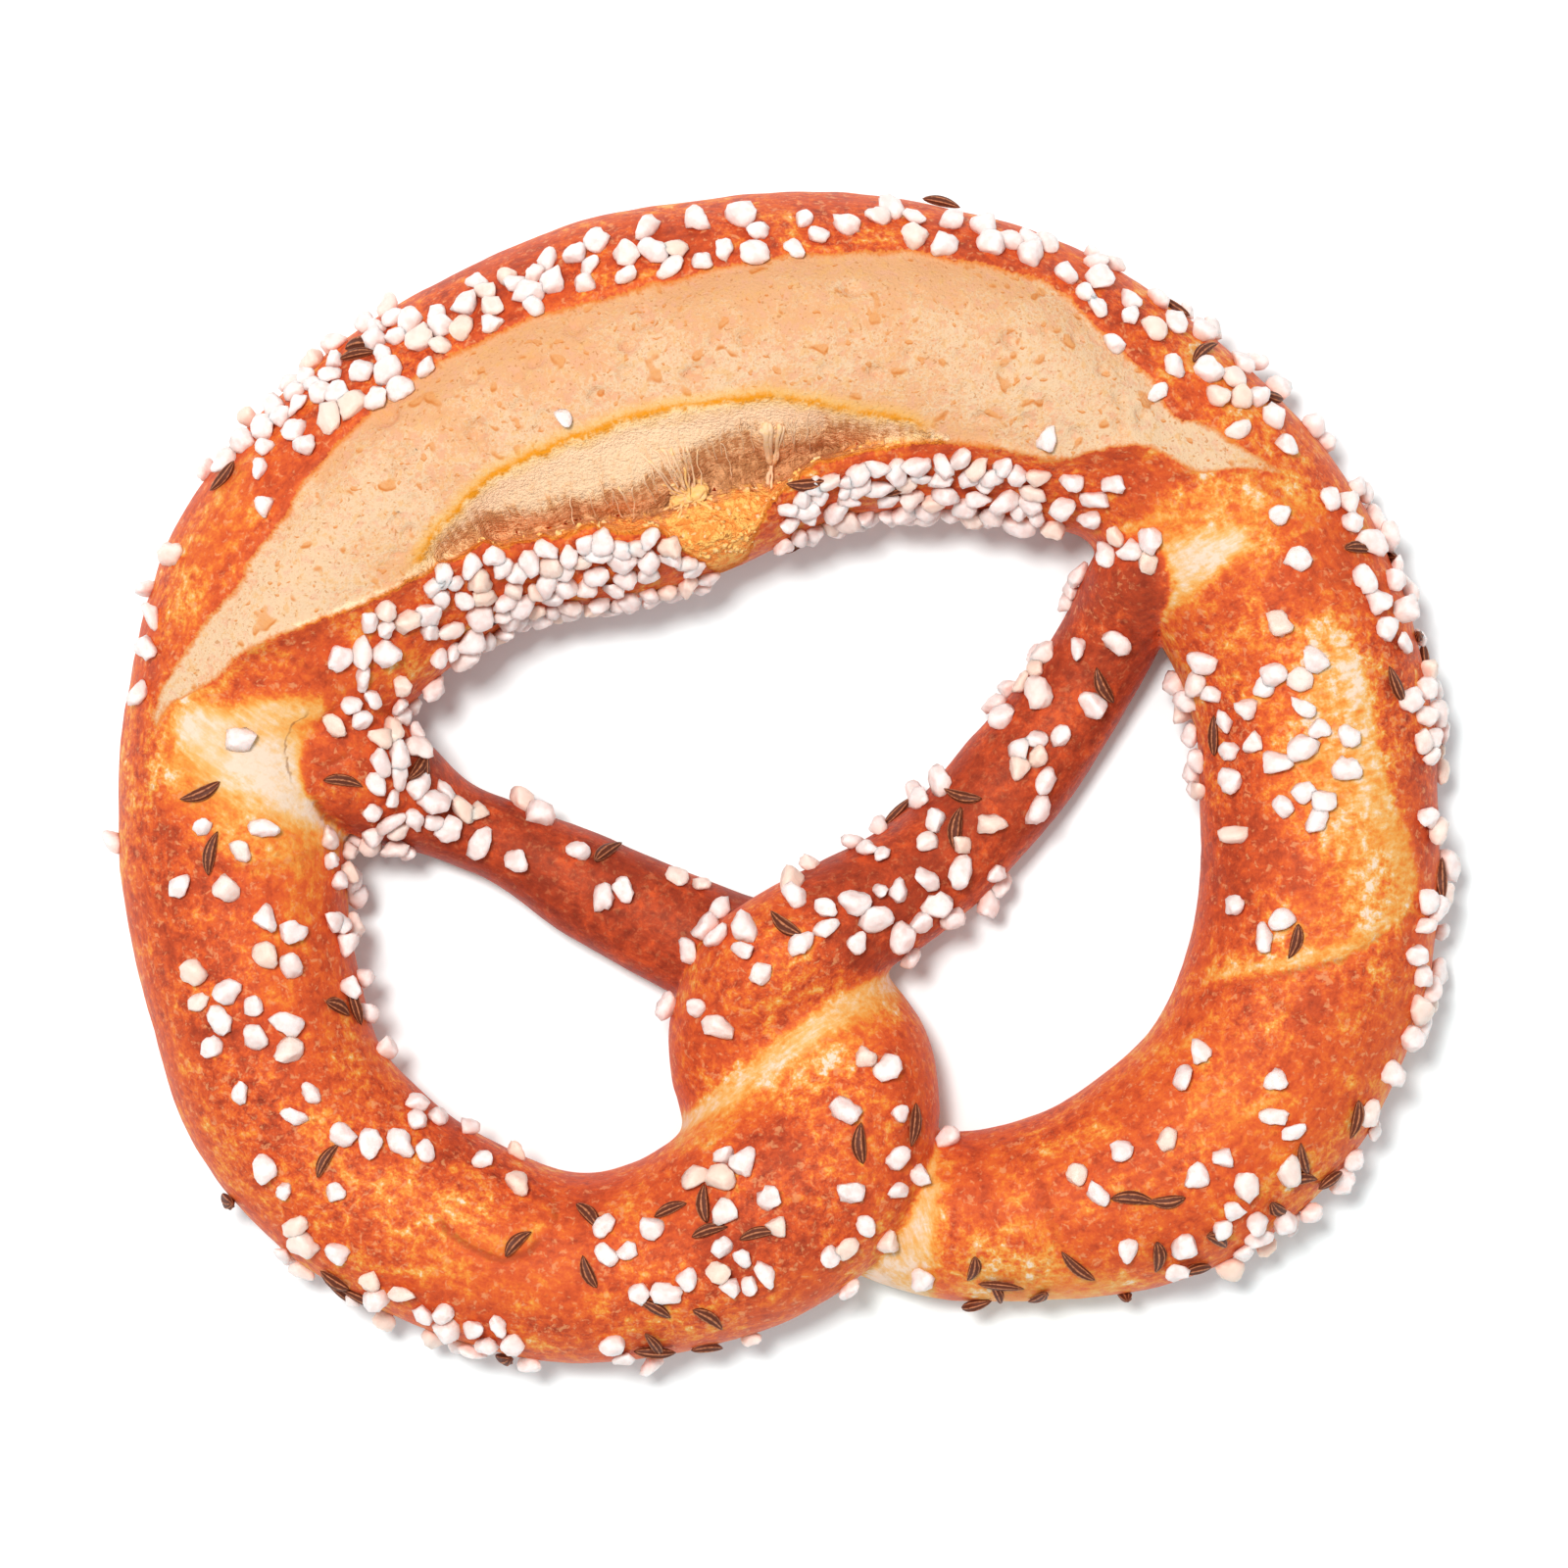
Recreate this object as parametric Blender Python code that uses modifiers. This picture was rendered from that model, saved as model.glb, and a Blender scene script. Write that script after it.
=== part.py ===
# A soft pretzel, one rope of baked dough, resting flat on the table.
# Metres, +Z up. The origin is the middle of the footprint, on the table.
# The belly lies at +Y, the two lobes at -Y. The thin left end of the rope runs under the
# thin right end, the thick strands cross again below them, and both ends are pressed onto
# the belly. The belly has burst open along its baker's cut.
import bpy
import numpy as np

MM = 0.001

# The rope from its left end to its right end, in mm: the middle of the strand (x, y),
# its width, and the heights of its underside and its top.
LEFT_ARM = [
    (-60.5, 6.5, 12.0, 12.0, 21.5),
    (-54.0, 3.5, 16.0, 9.0, 23.8),
    (-47.6, -0.8, 14.8, 4.0, 20.5),
    (-40.5, -4.8, 9.8, 0.0, 13.0),
    (-33.0, -8.0, 9.8, 0.0, 11.5),
    (-23.0, -13.2, 12.5, 0.0, 12.5),
    (-9.0, -20.0, 14.0, 0.0, 13.0),
    (4.5, -26.5, 15.0, 0.0, 16.5),
]
NECK_STRAND_OVER = [
    (8.6, -34.2, 20.0, 0.0, 21.5),
    (5.6, -45.0, 26.0, 3.5, 25.0),
    (-3.0, -52.8, 27.0, 4.0, 25.5),
    (-14.0, -58.0, 23.6, 0.0, 23.0),
]
LEFT_LOBE = [
    (-25.0, -59.6, 23.2, 0.0, 22.0),
    (-38.0, -55.8, 23.8, 0.0, 22.0),
    (-50.5, -48.6, 25.6, 0.0, 22.5),
    (-59.4, -38.8, 25.4, 0.0, 23.0),
    (-63.8, -25.7, 25.8, 0.0, 23.5),
    (-66.1, -11.4, 27.3, 0.0, 24.5),
]
BELLY = [
    (-65.7, 3.0, 28.8, 0.0, 25.5),
    (-57.3, 21.4, 36.6, 0.0, 28.5),
    (-42.2, 36.0, 39.6, 0.0, 30.0),
    (-17.0, 45.6, 45.5, 0.0, 31.0),
    (3.7, 50.9, 40.3, 0.0, 30.5),
    (18.6, 50.7, 37.2, 0.0, 29.5),
    (33.2, 46.9, 33.3, 0.0, 28.0),
    (45.3, 41.0, 29.1, 0.0, 26.5),
]
RIGHT_LOBE = [
    (54.5, 31.0, 29.6, 0.0, 25.5),
    (63.4, 13.9, 28.4, 0.0, 24.5),
    (65.8, -6.0, 28.5, 0.0, 24.0),
    (63.6, -25.5, 28.8, 0.0, 24.0),
    (56.0, -40.0, 28.5, 0.0, 23.5),
    (45.0, -48.3, 26.8, 0.0, 23.0),
    (31.0, -52.7, 22.0, 0.0, 20.5),
    (19.0, -53.1, 20.0, 0.0, 18.5),
]
NECK_STRAND_UNDER = [
    (6.0, -48.0, 18.0, 0.0, 14.5),
    (-3.6, -39.0, 17.0, 0.0, 15.5),
    (-4.8, -31.0, 16.6, 2.0, 19.5),
    (-1.8, -24.0, 16.4, 6.0, 22.5),
]
RIGHT_ARM = [
    (6.5, -18.0, 15.8, 6.0, 21.0),
    (16.4, -12.2, 14.4, 1.0, 16.5),
    (29.5, 1.3, 13.4, 0.0, 13.0),
    (35.2, 9.2, 12.3, 0.0, 12.5),
    (40.2, 17.4, 11.6, 2.0, 15.5),
    (43.8, 24.5, 12.0, 8.0, 22.5),
    (49.0, 31.5, 10.0, 12.0, 22.0),
]
ROPE = LEFT_ARM + NECK_STRAND_OVER + LEFT_LOBE + BELLY + RIGHT_LOBE + NECK_STRAND_UNDER + RIGHT_ARM

# The burst cut in mm: how far along the belly from its first row, then distances across
# the belly from its outer side: outer edge of the cut, crest of the pale dome, inner lip.
CUT = [
    (3.0, 1.0, 1.5, 2.0),
    (12.0, 6.0, 8.5, 11.0),
    (22.0, 9.5, 20.0, 21.5),
    (33.0, 9.0, 24.0, 25.5),
    (44.0, 8.0, 25.0, 30.0),
    (56.0, 8.8, 24.6, 35.2),
    (72.0, 9.4, 24.3, 36.5),
    (82.0, 8.2, 24.4, 36.0),
    (93.0, 7.2, 25.0, 33.5),
    (108.0, 5.2, 26.5, 28.4),
    (123.0, 6.7, 23.0, 24.0),
    (136.0, 11.0, 16.0, 17.0),
    (146.0, 10.5, 11.0, 11.5),
]
DOME_RISE = 1.6
CAVITY_DEPTH = 9.0
LIP_RISE = 0.8
LIP_WALL = 1.2
BREAK_AT = 79.0
BREAK_HALF_LENGTH = 8.0
BREAK_WIDTH = 6.0

WIDEST_AT = 0.42
TOP_ROUNDNESS = 2.15
UNDERSIDE_ROUNDNESS = 2.2
SINK = 2.0
ROW_STEP = 1.2
POINTS_OVER_TOP = 64
POINTS_UNDER = 24

VOXEL = 1.2
TRIANGLES = 9000
TABLE_BLOCK = (200.0, 180.0, 20.0)

CRUST_COLOUR = (0.52, 0.16, 0.045, 1.0)
CRUST_ROUGHNESS = 0.38


def clear_objects():
    for item in list(bpy.data.objects):
        bpy.data.objects.remove(item, do_unlink=True)


def smooth_rows(rows, at):
    # Cubic curve through the rows, whose first column is the distance along.
    rows = np.array(rows, dtype=float)
    x = rows[:, 0]
    slope = np.gradient(rows, x, axis=0)
    k = np.clip(np.searchsorted(x, at, side="right") - 1, 0, len(x) - 2)
    span = x[k + 1] - x[k]
    t = ((np.clip(at, x[0], x[-1]) - x[k]) / span)[:, None]
    span = span[:, None]
    start = (1 + 2 * t) * (1 - t) ** 2 * rows[k] + t * (1 - t) ** 2 * span * slope[k]
    end = t * t * (3 - 2 * t) * rows[k + 1] - t * t * (1 - t) * span * slope[k + 1]
    return (start + end)[:, 1:]


def rope_rows():
    rope = np.array(ROPE)
    chord = np.hypot(*np.diff(rope[:, :2], axis=0).T)
    along = np.concatenate([[0.0], np.cumsum(chord)])
    at = np.linspace(0.0, along[-1], int(along[-1] / ROW_STEP) + 1)
    rows = smooth_rows(np.column_stack([along, rope]), at)
    belly_start = along[len(LEFT_ARM) + len(NECK_STRAND_OVER) + len(LEFT_LOBE)]
    return at - belly_start, rows


def step(low, high, value):
    t = np.clip((value - low) / (high - low), 0.0, 1.0)
    return t * t * (3 - 2 * t)


def burst_height(along, across):
    # How far the open cut lifts or lowers the plain top, at distances from the outer side.
    first, last = CUT[0][0], CUT[-1][0]
    if along <= first or along >= last:
        return np.zeros_like(across)
    outer, crest, lip = smooth_rows(CUT, np.array([along]))[0]
    broken = 1 - step(0.0, BREAK_HALF_LENGTH, abs(along - BREAK_AT))
    lip = lip + BREAK_WIDTH * broken
    ends = step(0.0, 14.0, along - first) * step(0.0, 14.0, last - along)
    dome = step(outer, outer + 5.0, across) * (1 - step(crest, crest + 2.0, across))
    torn = np.clip((lip - crest - 1.5) / 8.0, 0.0, 1.0)
    wall = step(crest, crest + 0.75 * (lip - crest) + 0.1, across)
    inner = step(lip - LIP_WALL, lip, across)
    edge = step(lip - LIP_WALL, lip, across) * (1 - step(lip, lip + 5.0, across))
    return ends * (DOME_RISE * dome - CAVITY_DEPTH * torn * wall * (1 - inner)
                   + LIP_RISE * edge * (1 - broken))


def section(width, under, top):
    # Flattened below and round above; distances run from the outer side over the top.
    widest = under + WIDEST_AT * (top - under)
    over = np.linspace(0.0, np.pi, POINTS_OVER_TOP, endpoint=False)
    below = np.linspace(np.pi, 2 * np.pi, POINTS_UNDER, endpoint=False)
    power = np.where(np.arange(len(over) + len(below)) < len(over),
                     2 / TOP_ROUNDNESS, 2 / UNDERSIDE_ROUNDNESS)
    angle = np.concatenate([over, below])
    reach = np.where(np.sin(angle) >= -1e-9, top - widest, widest - under + SINK)
    side = width / 2 * np.sign(np.cos(angle)) * np.abs(np.cos(angle)) ** power
    height = widest + reach * np.sign(np.sin(angle)) * np.abs(np.sin(angle)) ** power
    return side, height


def rope_mesh():
    along, rows = rope_rows()
    middle = rows[:, :2]
    ahead = np.gradient(middle, axis=0)
    ahead /= np.linalg.norm(ahead, axis=1)[:, None]
    outward = np.column_stack([-ahead[:, 1], ahead[:, 0]])
    around = POINTS_OVER_TOP + POINTS_UNDER
    rings = []
    for row, at, place, out in zip(rows, along, middle, outward):
        width, under, top = row[2:]
        side, height = section(width, under, top)
        lift = burst_height(at, width / 2 - side)
        lift[POINTS_OVER_TOP:] = 0.0
        rings.append(np.column_stack([place[0] + out[0] * side, place[1] + out[1] * side,
                                      height + lift]))
    ends = [np.append(middle[i], (rows[i, 3] + rows[i, 4]) / 2) for i in (0, -1)]
    places = np.concatenate(rings + [np.array(ends)]) * MM
    faces = []
    for ring in range(len(rings) - 1):
        for k in range(around):
            a = ring * around + k
            b = ring * around + (k + 1) % around
            faces.append((a, b, b + around, a + around))
    first_end = len(rings) * around
    last_ring = (len(rings) - 1) * around
    for k in range(around):
        faces.append((first_end, (k + 1) % around, k))
        faces.append((first_end + 1, last_ring + k, last_ring + (k + 1) % around))
    mesh = bpy.data.meshes.new("pretzel")
    mesh.from_pydata([tuple(p) for p in places], [], faces)
    mesh.validate()
    return mesh


def crust_material():
    crust = bpy.data.materials.new("crust")
    crust.use_nodes = True
    skin = crust.node_tree.nodes["Principled BSDF"]
    skin.inputs["Base Color"].default_value = CRUST_COLOUR
    skin.inputs["Roughness"].default_value = CRUST_ROUGHNESS
    skin.inputs["Metallic"].default_value = 0.0
    return crust


def make_collection(name):
    made = bpy.data.collections.new(name)
    bpy.context.scene.collection.children.link(made)
    return made


def table_cutter(cutters):
    bpy.ops.mesh.primitive_cube_add(size=1.0)
    block = bpy.context.active_object
    block.name = "below_table"
    block.scale = [side * MM for side in TABLE_BLOCK]
    block.location = (0.0, 0.0, -TABLE_BLOCK[2] / 2 * MM)
    bpy.ops.object.transform_apply(location=False, rotation=False, scale=True)
    for home in list(block.users_collection):
        home.objects.unlink(block)
    cutters.objects.link(block)
    block.hide_render = True
    block.display_type = "WIRE"
    return block


def make_pretzel(parts, cutters):
    pretzel = bpy.data.objects.new("pretzel", rope_mesh())
    parts.objects.link(pretzel)
    pretzel.data.materials.append(crust_material())
    fuse = pretzel.modifiers.new("fuse strands", "REMESH")
    fuse.mode = "VOXEL"
    fuse.voxel_size = VOXEL * MM
    bpy.context.view_layer.update()
    fused = pretzel.evaluated_get(bpy.context.evaluated_depsgraph_get()).data
    fused.calc_loop_triangles()
    fewer = pretzel.modifiers.new("fewer faces", "DECIMATE")
    fewer.ratio = TRIANGLES / len(fused.loop_triangles)
    flat = pretzel.modifiers.new("flat underside", "BOOLEAN")
    flat.operation = "DIFFERENCE"
    flat.solver = "EXACT"
    flat.object = table_cutter(cutters)
    return pretzel


def main():
    clear_objects()
    parts = make_collection("soft pretzel")
    cutters = make_collection("cutters")
    make_pretzel(parts, cutters)


main()
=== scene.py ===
# A soft pretzel: one rope of dough, crossed twice at the neck, its ends pressed onto the belly,
# which has burst open along the baker's cut. Coarse salt and caraway seeds lie on the crust.
import math
import bpy
import bmesh
import numpy as np
from mathutils import Euler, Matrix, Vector
from mathutils.bvhtree import BVHTree
from mathutils.kdtree import KDTree


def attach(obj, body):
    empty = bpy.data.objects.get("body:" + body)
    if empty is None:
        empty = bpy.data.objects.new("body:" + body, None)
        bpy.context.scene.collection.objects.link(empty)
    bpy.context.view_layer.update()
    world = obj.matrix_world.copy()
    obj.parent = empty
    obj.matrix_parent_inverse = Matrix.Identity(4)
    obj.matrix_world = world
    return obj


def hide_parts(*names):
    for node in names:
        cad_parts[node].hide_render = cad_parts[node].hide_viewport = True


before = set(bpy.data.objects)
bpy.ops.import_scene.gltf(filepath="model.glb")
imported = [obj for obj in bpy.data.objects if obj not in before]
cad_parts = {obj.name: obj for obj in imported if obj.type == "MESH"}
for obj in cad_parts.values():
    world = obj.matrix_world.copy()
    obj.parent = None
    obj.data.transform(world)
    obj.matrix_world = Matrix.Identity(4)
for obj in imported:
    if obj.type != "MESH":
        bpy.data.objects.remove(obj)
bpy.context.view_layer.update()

mm = 0.001

# The rope of dough, in mm, from its left end to its right end. Each row gives the middle of
# the strand (x, y), its width, and the heights of its underside and its top.
rope = {
    "leftArm": [
        (-60.5, 6.5, 12, 12, 21.5), (-54, 3.5, 16, 9, 23.8), (-47.6, -0.8, 15, 4, 20.5),
        (-40.5, -4.8, 10.8, 0, 13.6), (-33, -8, 10.4, 0, 12), (-23, -13.2, 12.5, 0, 12.5),
        (-9, -20, 14, 0, 13), (4.5, -26.5, 15, 0, 16.5),
    ],
    "neckOver": [
        (8.6, -34.2, 20, 0, 21.5), (5.6, -45, 26, 3.5, 25), (-3, -52.8, 27, 4, 25.5),
        (-14, -58, 23.6, 0, 23),
    ],
    "leftLobe": [
        (-25, -59.6, 23.2, 0, 22), (-38, -55.8, 23.8, 0, 22), (-50.5, -48.6, 25.6, 0, 22.5),
        (-59.4, -38.8, 25.4, 0, 23), (-63.8, -25.7, 25.8, 0, 23.5), (-66.1, -11.4, 27.3, 0, 24.5),
    ],
    "belly": [
        (-65.7, 3, 28.8, 0, 25.5), (-57.3, 21.4, 36.6, 0, 28.5), (-42.2, 36, 39.6, 0, 30),
        (-17, 45.6, 45.5, 0, 31), (3.7, 50.9, 40.3, 0, 30.5), (18.6, 50.7, 37.2, 0, 29.5),
        (33.2, 46.9, 33.3, 0, 28), (45.3, 41, 29.1, 0, 26.5),
    ],
    "rightLobe": [
        (54.5, 31, 29.6, 0, 25.5), (63.4, 13.9, 28.4, 0, 24.5), (65.8, -6, 28.5, 0, 24),
        (63.6, -25.5, 28.8, 0, 24), (56, -40, 28.5, 0, 23.5), (45, -48.3, 26.8, 0, 23),
        (31, -52.7, 22, 0, 20.5), (19, -53.1, 20, 0, 18.5),
    ],
    "neckUnder": [
        (6, -48, 18, 0, 14.5), (-3.6, -39, 17, 0, 15.5), (-4.8, -31, 16.6, 2, 19.5),
        (-1.8, -24, 16.4, 6, 22.5),
    ],
    "rightArm": [
        (6.5, -18, 15.8, 6, 21), (16.4, -12.2, 14.4, 1, 16.5), (29.5, 1.3, 13.4, 0, 13),
        (35.2, 9.2, 12.3, 0, 12.5), (40.2, 17.4, 11.6, 2, 15.5), (43.8, 24.5, 12, 8, 22.5),
        (49, 31.5, 10, 12, 22),
    ],
}

# The web of dough where the two strands of the neck have baked together, in the same way.
neckWeb = [
    (12.6, -26.4, 5, 5, 16.5), (7.5, -29.4, 9, 3, 20.8), (0.5, -34, 11, 2, 21),
    (-6, -38.4, 9, 2, 18.6), (-10.6, -41.6, 5, 3, 14.5),
]

section = {
    "widestAt": 0.42,            # share of the height at which a strand is widest
    "topRoundness": 2.15,
    "undersideRoundness": 2.2,
    "sink": 2.0,                 # mm of dough pressed flat on the tray
    "ringStep": 0.6,             # mm between sections
    "pointsOverTop": 150,
    "pointsUnder": 36,
}

# The burst cut, in mm: how far along the belly, then distances across it from its outer
# side to the outer edge of the cut, the crest of the pale dome and the torn inner lip, and
# to where the torn wall turns brown, with painted shade, and where it turns golden.
burst = {
    "rows": [
        (1, 4, 4.6, 5.2, 6, 6), (3, 4.6, 5.4, 6.2, 7, 7), (7, 6.4, 10.2, 11.2, 12.5, 12.5),
        (12, 8.4, 13.8, 14.8, 16, 16), (17, 10.6, 18.6, 19.8, 21, 21),
        (22, 11.2, 22.6, 24, 25, 25), (33, 10.6, 26.6, 28.6, 28, 29.2),
        (37, 10, 26, 29.5, 27.5, 29.6), (44, 9.3, 25.3, 31.2, 27.8, 31),
        (51.5, 9.5, 24.9, 34.2, 30.4, 33.6), (58, 9.9, 25.1, 36, 31.8, 35.2),
        (62.8, 10.1, 25.3, 38, 32.6, 36.2), (66.5, 10.3, 25.4, 39.8, 32.6, 37.4),
        (68.4, 10.3, 25.5, 42.3, 32.2, 37.2), (70.2, 10.3, 25.6, 45, 31.6, 36.8),
        (73.5, 10.1, 25.6, 45.2, 30.4, 36.6), (76.5, 9.9, 25.6, 42.8, 29.9, 36.2),
        (80, 9.4, 25.8, 39.2, 29.8, 36.2), (84.5, 9, 26, 35.8, 29.4, 34.9),
        (89, 8.5, 26.4, 34.3, 29.2, 33.7), (94, 8.2, 26.9, 32.6, 29, 31.9),
        (100.5, 7.3, 27.5, 30.7, 28.6, 30.2), (106, 6.8, 27.8, 29.4, 28.1, 28.8),
        (110, 6.4, 27.3, 28.3, 28.6, 28.8), (116, 6.3, 25.8, 26.8, 27.5, 27.5),
        (123, 8.3, 23.3, 24.5, 26, 26), (129, 9.4, 18.4, 19.4, 21, 21),
        (133.5, 11.6, 15.2, 16.2, 17.5, 17.5), (136, 10, 14.8, 15.8, 17, 17),
        (139.5, 9, 13.6, 14.6, 16, 16), (143, 7.6, 9.2, 9.8, 11, 11), (145.5, 6.9, 7.2, 7.4, 9, 9),
    ],
    "tapers": 14.0,              # mm over which the cut comes up at each end
    "tornFrom": 1.2,             # mm between crest and lip where the wall starts to tear
    "tornOver": 6.0,
    "domeRise": 1.6,
    "domeFoot": 7.0,
    "domeBrow": 3.0,
    "edgeRise": 0.3,
    "edgeWidth": 2.5,
    "edgeDrop": 0.4,
    "dropWidth": 4.0,
    "cavityDepth": 8.0,
    "notchFloor": 0.28,          # share of the depth that is left in the notch
    "notchRise": 2.2,
    "lipRise": 0.9,
    "lipWall": 1.2,
    "lipUsual": 38.2,            # mm across, past which the lip is broken away
    "ragged": 1.0,               # mm that the crest and the lip wander
    "fibres": 0.5,               # mm that the torn wall is furrowed
    "wallDrop": 0.22,            # share of the depth already reached where the wall turns brown, with painted shade
    "shelf": 0.45,               # share of the depth that the golden crumb fills again
}

lattice = np.random.RandomState(11).uniform(-1.0, 1.0, (64, 64, 64))


def softNoise(points, size, shift=0.0):
    # Smooth random lumps of about one size, between -1 and 1, in the unit of the points.
    cell = points / size + shift
    low = np.floor(cell).astype(int)
    t = cell - low
    t = t * t * (3 - 2 * t)
    total = np.zeros(len(points))
    for corner in range(8):
        hop = np.array([corner & 1, corner >> 1 & 1, corner >> 2 & 1])
        index = (low + hop) % len(lattice)
        weight = np.prod(np.where(hop, t, 1 - t), axis=1)
        total += lattice[index[:, 0], index[:, 1], index[:, 2]] * weight
    return total


def ease(low, high, value):
    # 0 below the first value, 1 above the second, and smooth between them.
    t = np.clip((value - low) / (high - low), 0.0, 1.0)
    return t * t * (3 - 2 * t)


def curveThrough(rows, at):
    # A smooth curve through rows whose first column is the distance along.
    rows = np.array(rows, dtype=float)
    x = rows[:, 0]
    slope = np.gradient(rows, x, axis=0)
    at = np.clip(at, x[0], x[-1])
    k = np.clip(np.searchsorted(x, at, side="right") - 1, 0, len(x) - 2)
    span = x[k + 1] - x[k]
    t = ((at - x[k]) / span)[:, None]
    span = span[:, None]
    start = (1 + 2 * t) * (1 - t) ** 2 * rows[k] + t * (1 - t) ** 2 * span * slope[k]
    end = t * t * (3 - 2 * t) * rows[k + 1] - t * t * (1 - t) * span * slope[k + 1]
    return (start + end)[:, 1:]


def flatNoise(along, size, shift):
    return softNoise(np.column_stack([along, 0 * along, 0 * along]), size, shift)


def layStrand(rows):
    # Sections of a strand at even steps, with the ways ahead and out to its left.
    rows = np.array(rows, dtype=float)
    marks = np.concatenate([[0.0], np.cumsum(np.hypot(*np.diff(rows[:, :2], axis=0).T))])
    at = np.linspace(0.0, marks[-1], int(marks[-1] / section["ringStep"]) + 1)
    laid = curveThrough(np.column_stack([marks, rows]), at)
    ahead = np.gradient(laid[:, :2], axis=0)
    ahead /= np.linalg.norm(ahead, axis=1)[:, None]
    return {"marks": marks, "at": at, "rows": laid, "ahead": ahead,
            "out": np.column_stack([-ahead[:, 1], ahead[:, 0]])}


strand = layStrand([row for part in rope.values() for row in part])
starts = strand["marks"][np.cumsum([0] + [len(rows) for rows in rope.values()])[:-1]]
stretchStart = dict(zip(rope, starts))
stretchEnd = dict(zip(rope, [*starts[1:], strand["marks"][-1]]))
bellyStart = stretchStart["belly"]
cutFrom, cutTo = burst["rows"][0][0], burst["rows"][-1][0]


def sectionRing(row):
    # One section: distances to the left of the middle, heights, and which are on top.
    width, under, top = row[2:]
    widest = under + section["widestAt"] * (top - under)
    over = np.linspace(0.0, np.pi, section["pointsOverTop"], endpoint=False)
    below = np.linspace(np.pi, 2 * np.pi, section["pointsUnder"], endpoint=False)
    angle = np.concatenate([over, below])
    isTop = np.arange(len(angle)) < len(over)
    power = 2 / np.where(isTop, section["topRoundness"], section["undersideRoundness"])
    reach = np.where(isTop, top - widest, widest - under + section["sink"])
    side = width / 2 * np.sign(np.cos(angle)) * np.abs(np.cos(angle)) ** power
    height = widest + reach * np.sign(np.sin(angle)) * np.abs(np.sin(angle)) ** power
    return side, height, isTop


def cutEdges(along):
    # Outer edge, crest and lip of the cut, how open it is torn, and where its wall turns
    # brown, with painted shade, and golden.
    outer, crest, lip, brownAndShade, golden = curveThrough(burst["rows"], along).T
    torn = np.clip((lip - crest - burst["tornFrom"]) / burst["tornOver"], 0.0, 1.0)
    outer = outer + 0.35 * flatNoise(along, 3.1, 4.2) + 0.4 * flatNoise(along, 9.0, 1.7)
    crest = crest + burst["ragged"] * (0.5 * flatNoise(along, 6.0, 8.1)
                                       + 0.2 * flatNoise(along, 1.7, 2.9))
    frayed = flatNoise(along, 2.3, 3.3) + 0.6 * flatNoise(along, 1.1, 6.6)
    lip = lip + burst["ragged"] * frayed * torn
    brownAndShade = brownAndShade + burst["ragged"] * torn * (0.7 * flatNoise(along, 1.3, 9.3)
                                              + 0.7 * flatNoise(along, 4.2, 2.2))
    return outer, crest, lip, torn, brownAndShade, golden


def edgesAt(bellyAlong):
    return [values[0] for values in cutEdges(np.array([bellyAlong]))]


def cutShape(along, across):
    # How far the open cut lifts or lowers the plain top of the belly.
    outer, crest, lip, torn, brownAndShade, golden = cutEdges(along)
    inward = across - outer
    ends = ease(0.0, burst["tapers"], along - cutFrom) * ease(0.0, burst["tapers"], cutTo - along)
    rim = ease(-burst["edgeWidth"], -0.4, inward) * (1 - ease(-0.3, 0.3, inward))
    dip = ease(-0.4, 0.4, inward) * (1 - ease(0.4, burst["dropWidth"], inward))
    dome = ease(0.0, burst["domeFoot"], inward)
    dome = dome * (1 - ease(0.0, burst["domeBrow"], across - crest))
    folds = np.column_stack([along, across * 0.3, 0 * along])
    bent = across + 0.5 * softNoise(folds, 2.4, 1.3)
    wall = (burst["wallDrop"] * ease(crest, brownAndShade + 0.5, across)
            + (1 - burst["wallDrop"]) * ease(brownAndShade - 0.6, brownAndShade + 3.2, bent))
    shelf = ease(golden - 0.8, np.minimum(lip, burst["lipUsual"]) - 0.6, across)
    wall = wall * (1 - burst["shelf"] * shelf)
    notch = ease(burst["lipUsual"] - 1.0, burst["lipUsual"] + 3.5, across)
    back = ease(lip - burst["lipWall"], lip, across)
    inside = torn * (1 - back) * (across > crest)
    furrow = softNoise(folds, 0.9, 5.1) + 0.7 * softNoise(folds, 2.1, 7.7)
    sponge = softNoise(np.column_stack([along, across, 0 * along]), 1.6, 2.2)
    coarse = ease(brownAndShade - 2.5, brownAndShade + 0.5, across)
    rough = burst["fibres"] * inside * (0.15 + 0.85 * coarse) * (0.6 * furrow + 0.9 * sponge)
    edge = back * (1 - ease(lip, lip + 5.0, across)) * (1 - notch)
    return ends * (burst["edgeRise"] * rim - burst["edgeDrop"] * dip
                   + burst["domeRise"] * dome + rough
                   - burst["cavityDepth"] * inside * wall * (1 - (1 - burst["notchFloor"]) * notch)
                   + burst["notchRise"] * inside * notch
                   + burst["lipRise"] * edge)


def newMesh(name, places, faces):
    mesh = bpy.data.meshes.new(name)
    mesh.from_pydata([tuple(p) for p in places], [], faces)
    mesh.update()
    return mesh


def newPiece(name, data):
    piece = bpy.data.objects.new(name, data)
    bpy.context.scene.collection.objects.link(piece)
    return piece


def readPoints(mesh):
    # The places of a mesh's points in mm, and the ways out of it there.
    flat = np.empty((2, len(mesh.vertices) * 3), dtype=np.float32)
    mesh.vertices.foreach_get("co", flat[0])
    mesh.vertex_normals.foreach_get("vector", flat[1])
    places, normals = flat.reshape(2, -1, 3).astype(float)
    return places / mm, normals


def movePoints(mesh, places):
    mesh.vertices.foreach_set("co", (places * mm).ravel())
    mesh.update()


def keepValues(mesh, name, values):
    # One number or one place a point, which the material reads by name.
    values = np.asarray(values, dtype=np.float32)
    kind, key = ("FLOAT", "value") if values.ndim == 1 else ("FLOAT_VECTOR", "vector")
    mesh.attributes.new(name, kind, "POINT").data.foreach_set(key, values.ravel())


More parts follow.
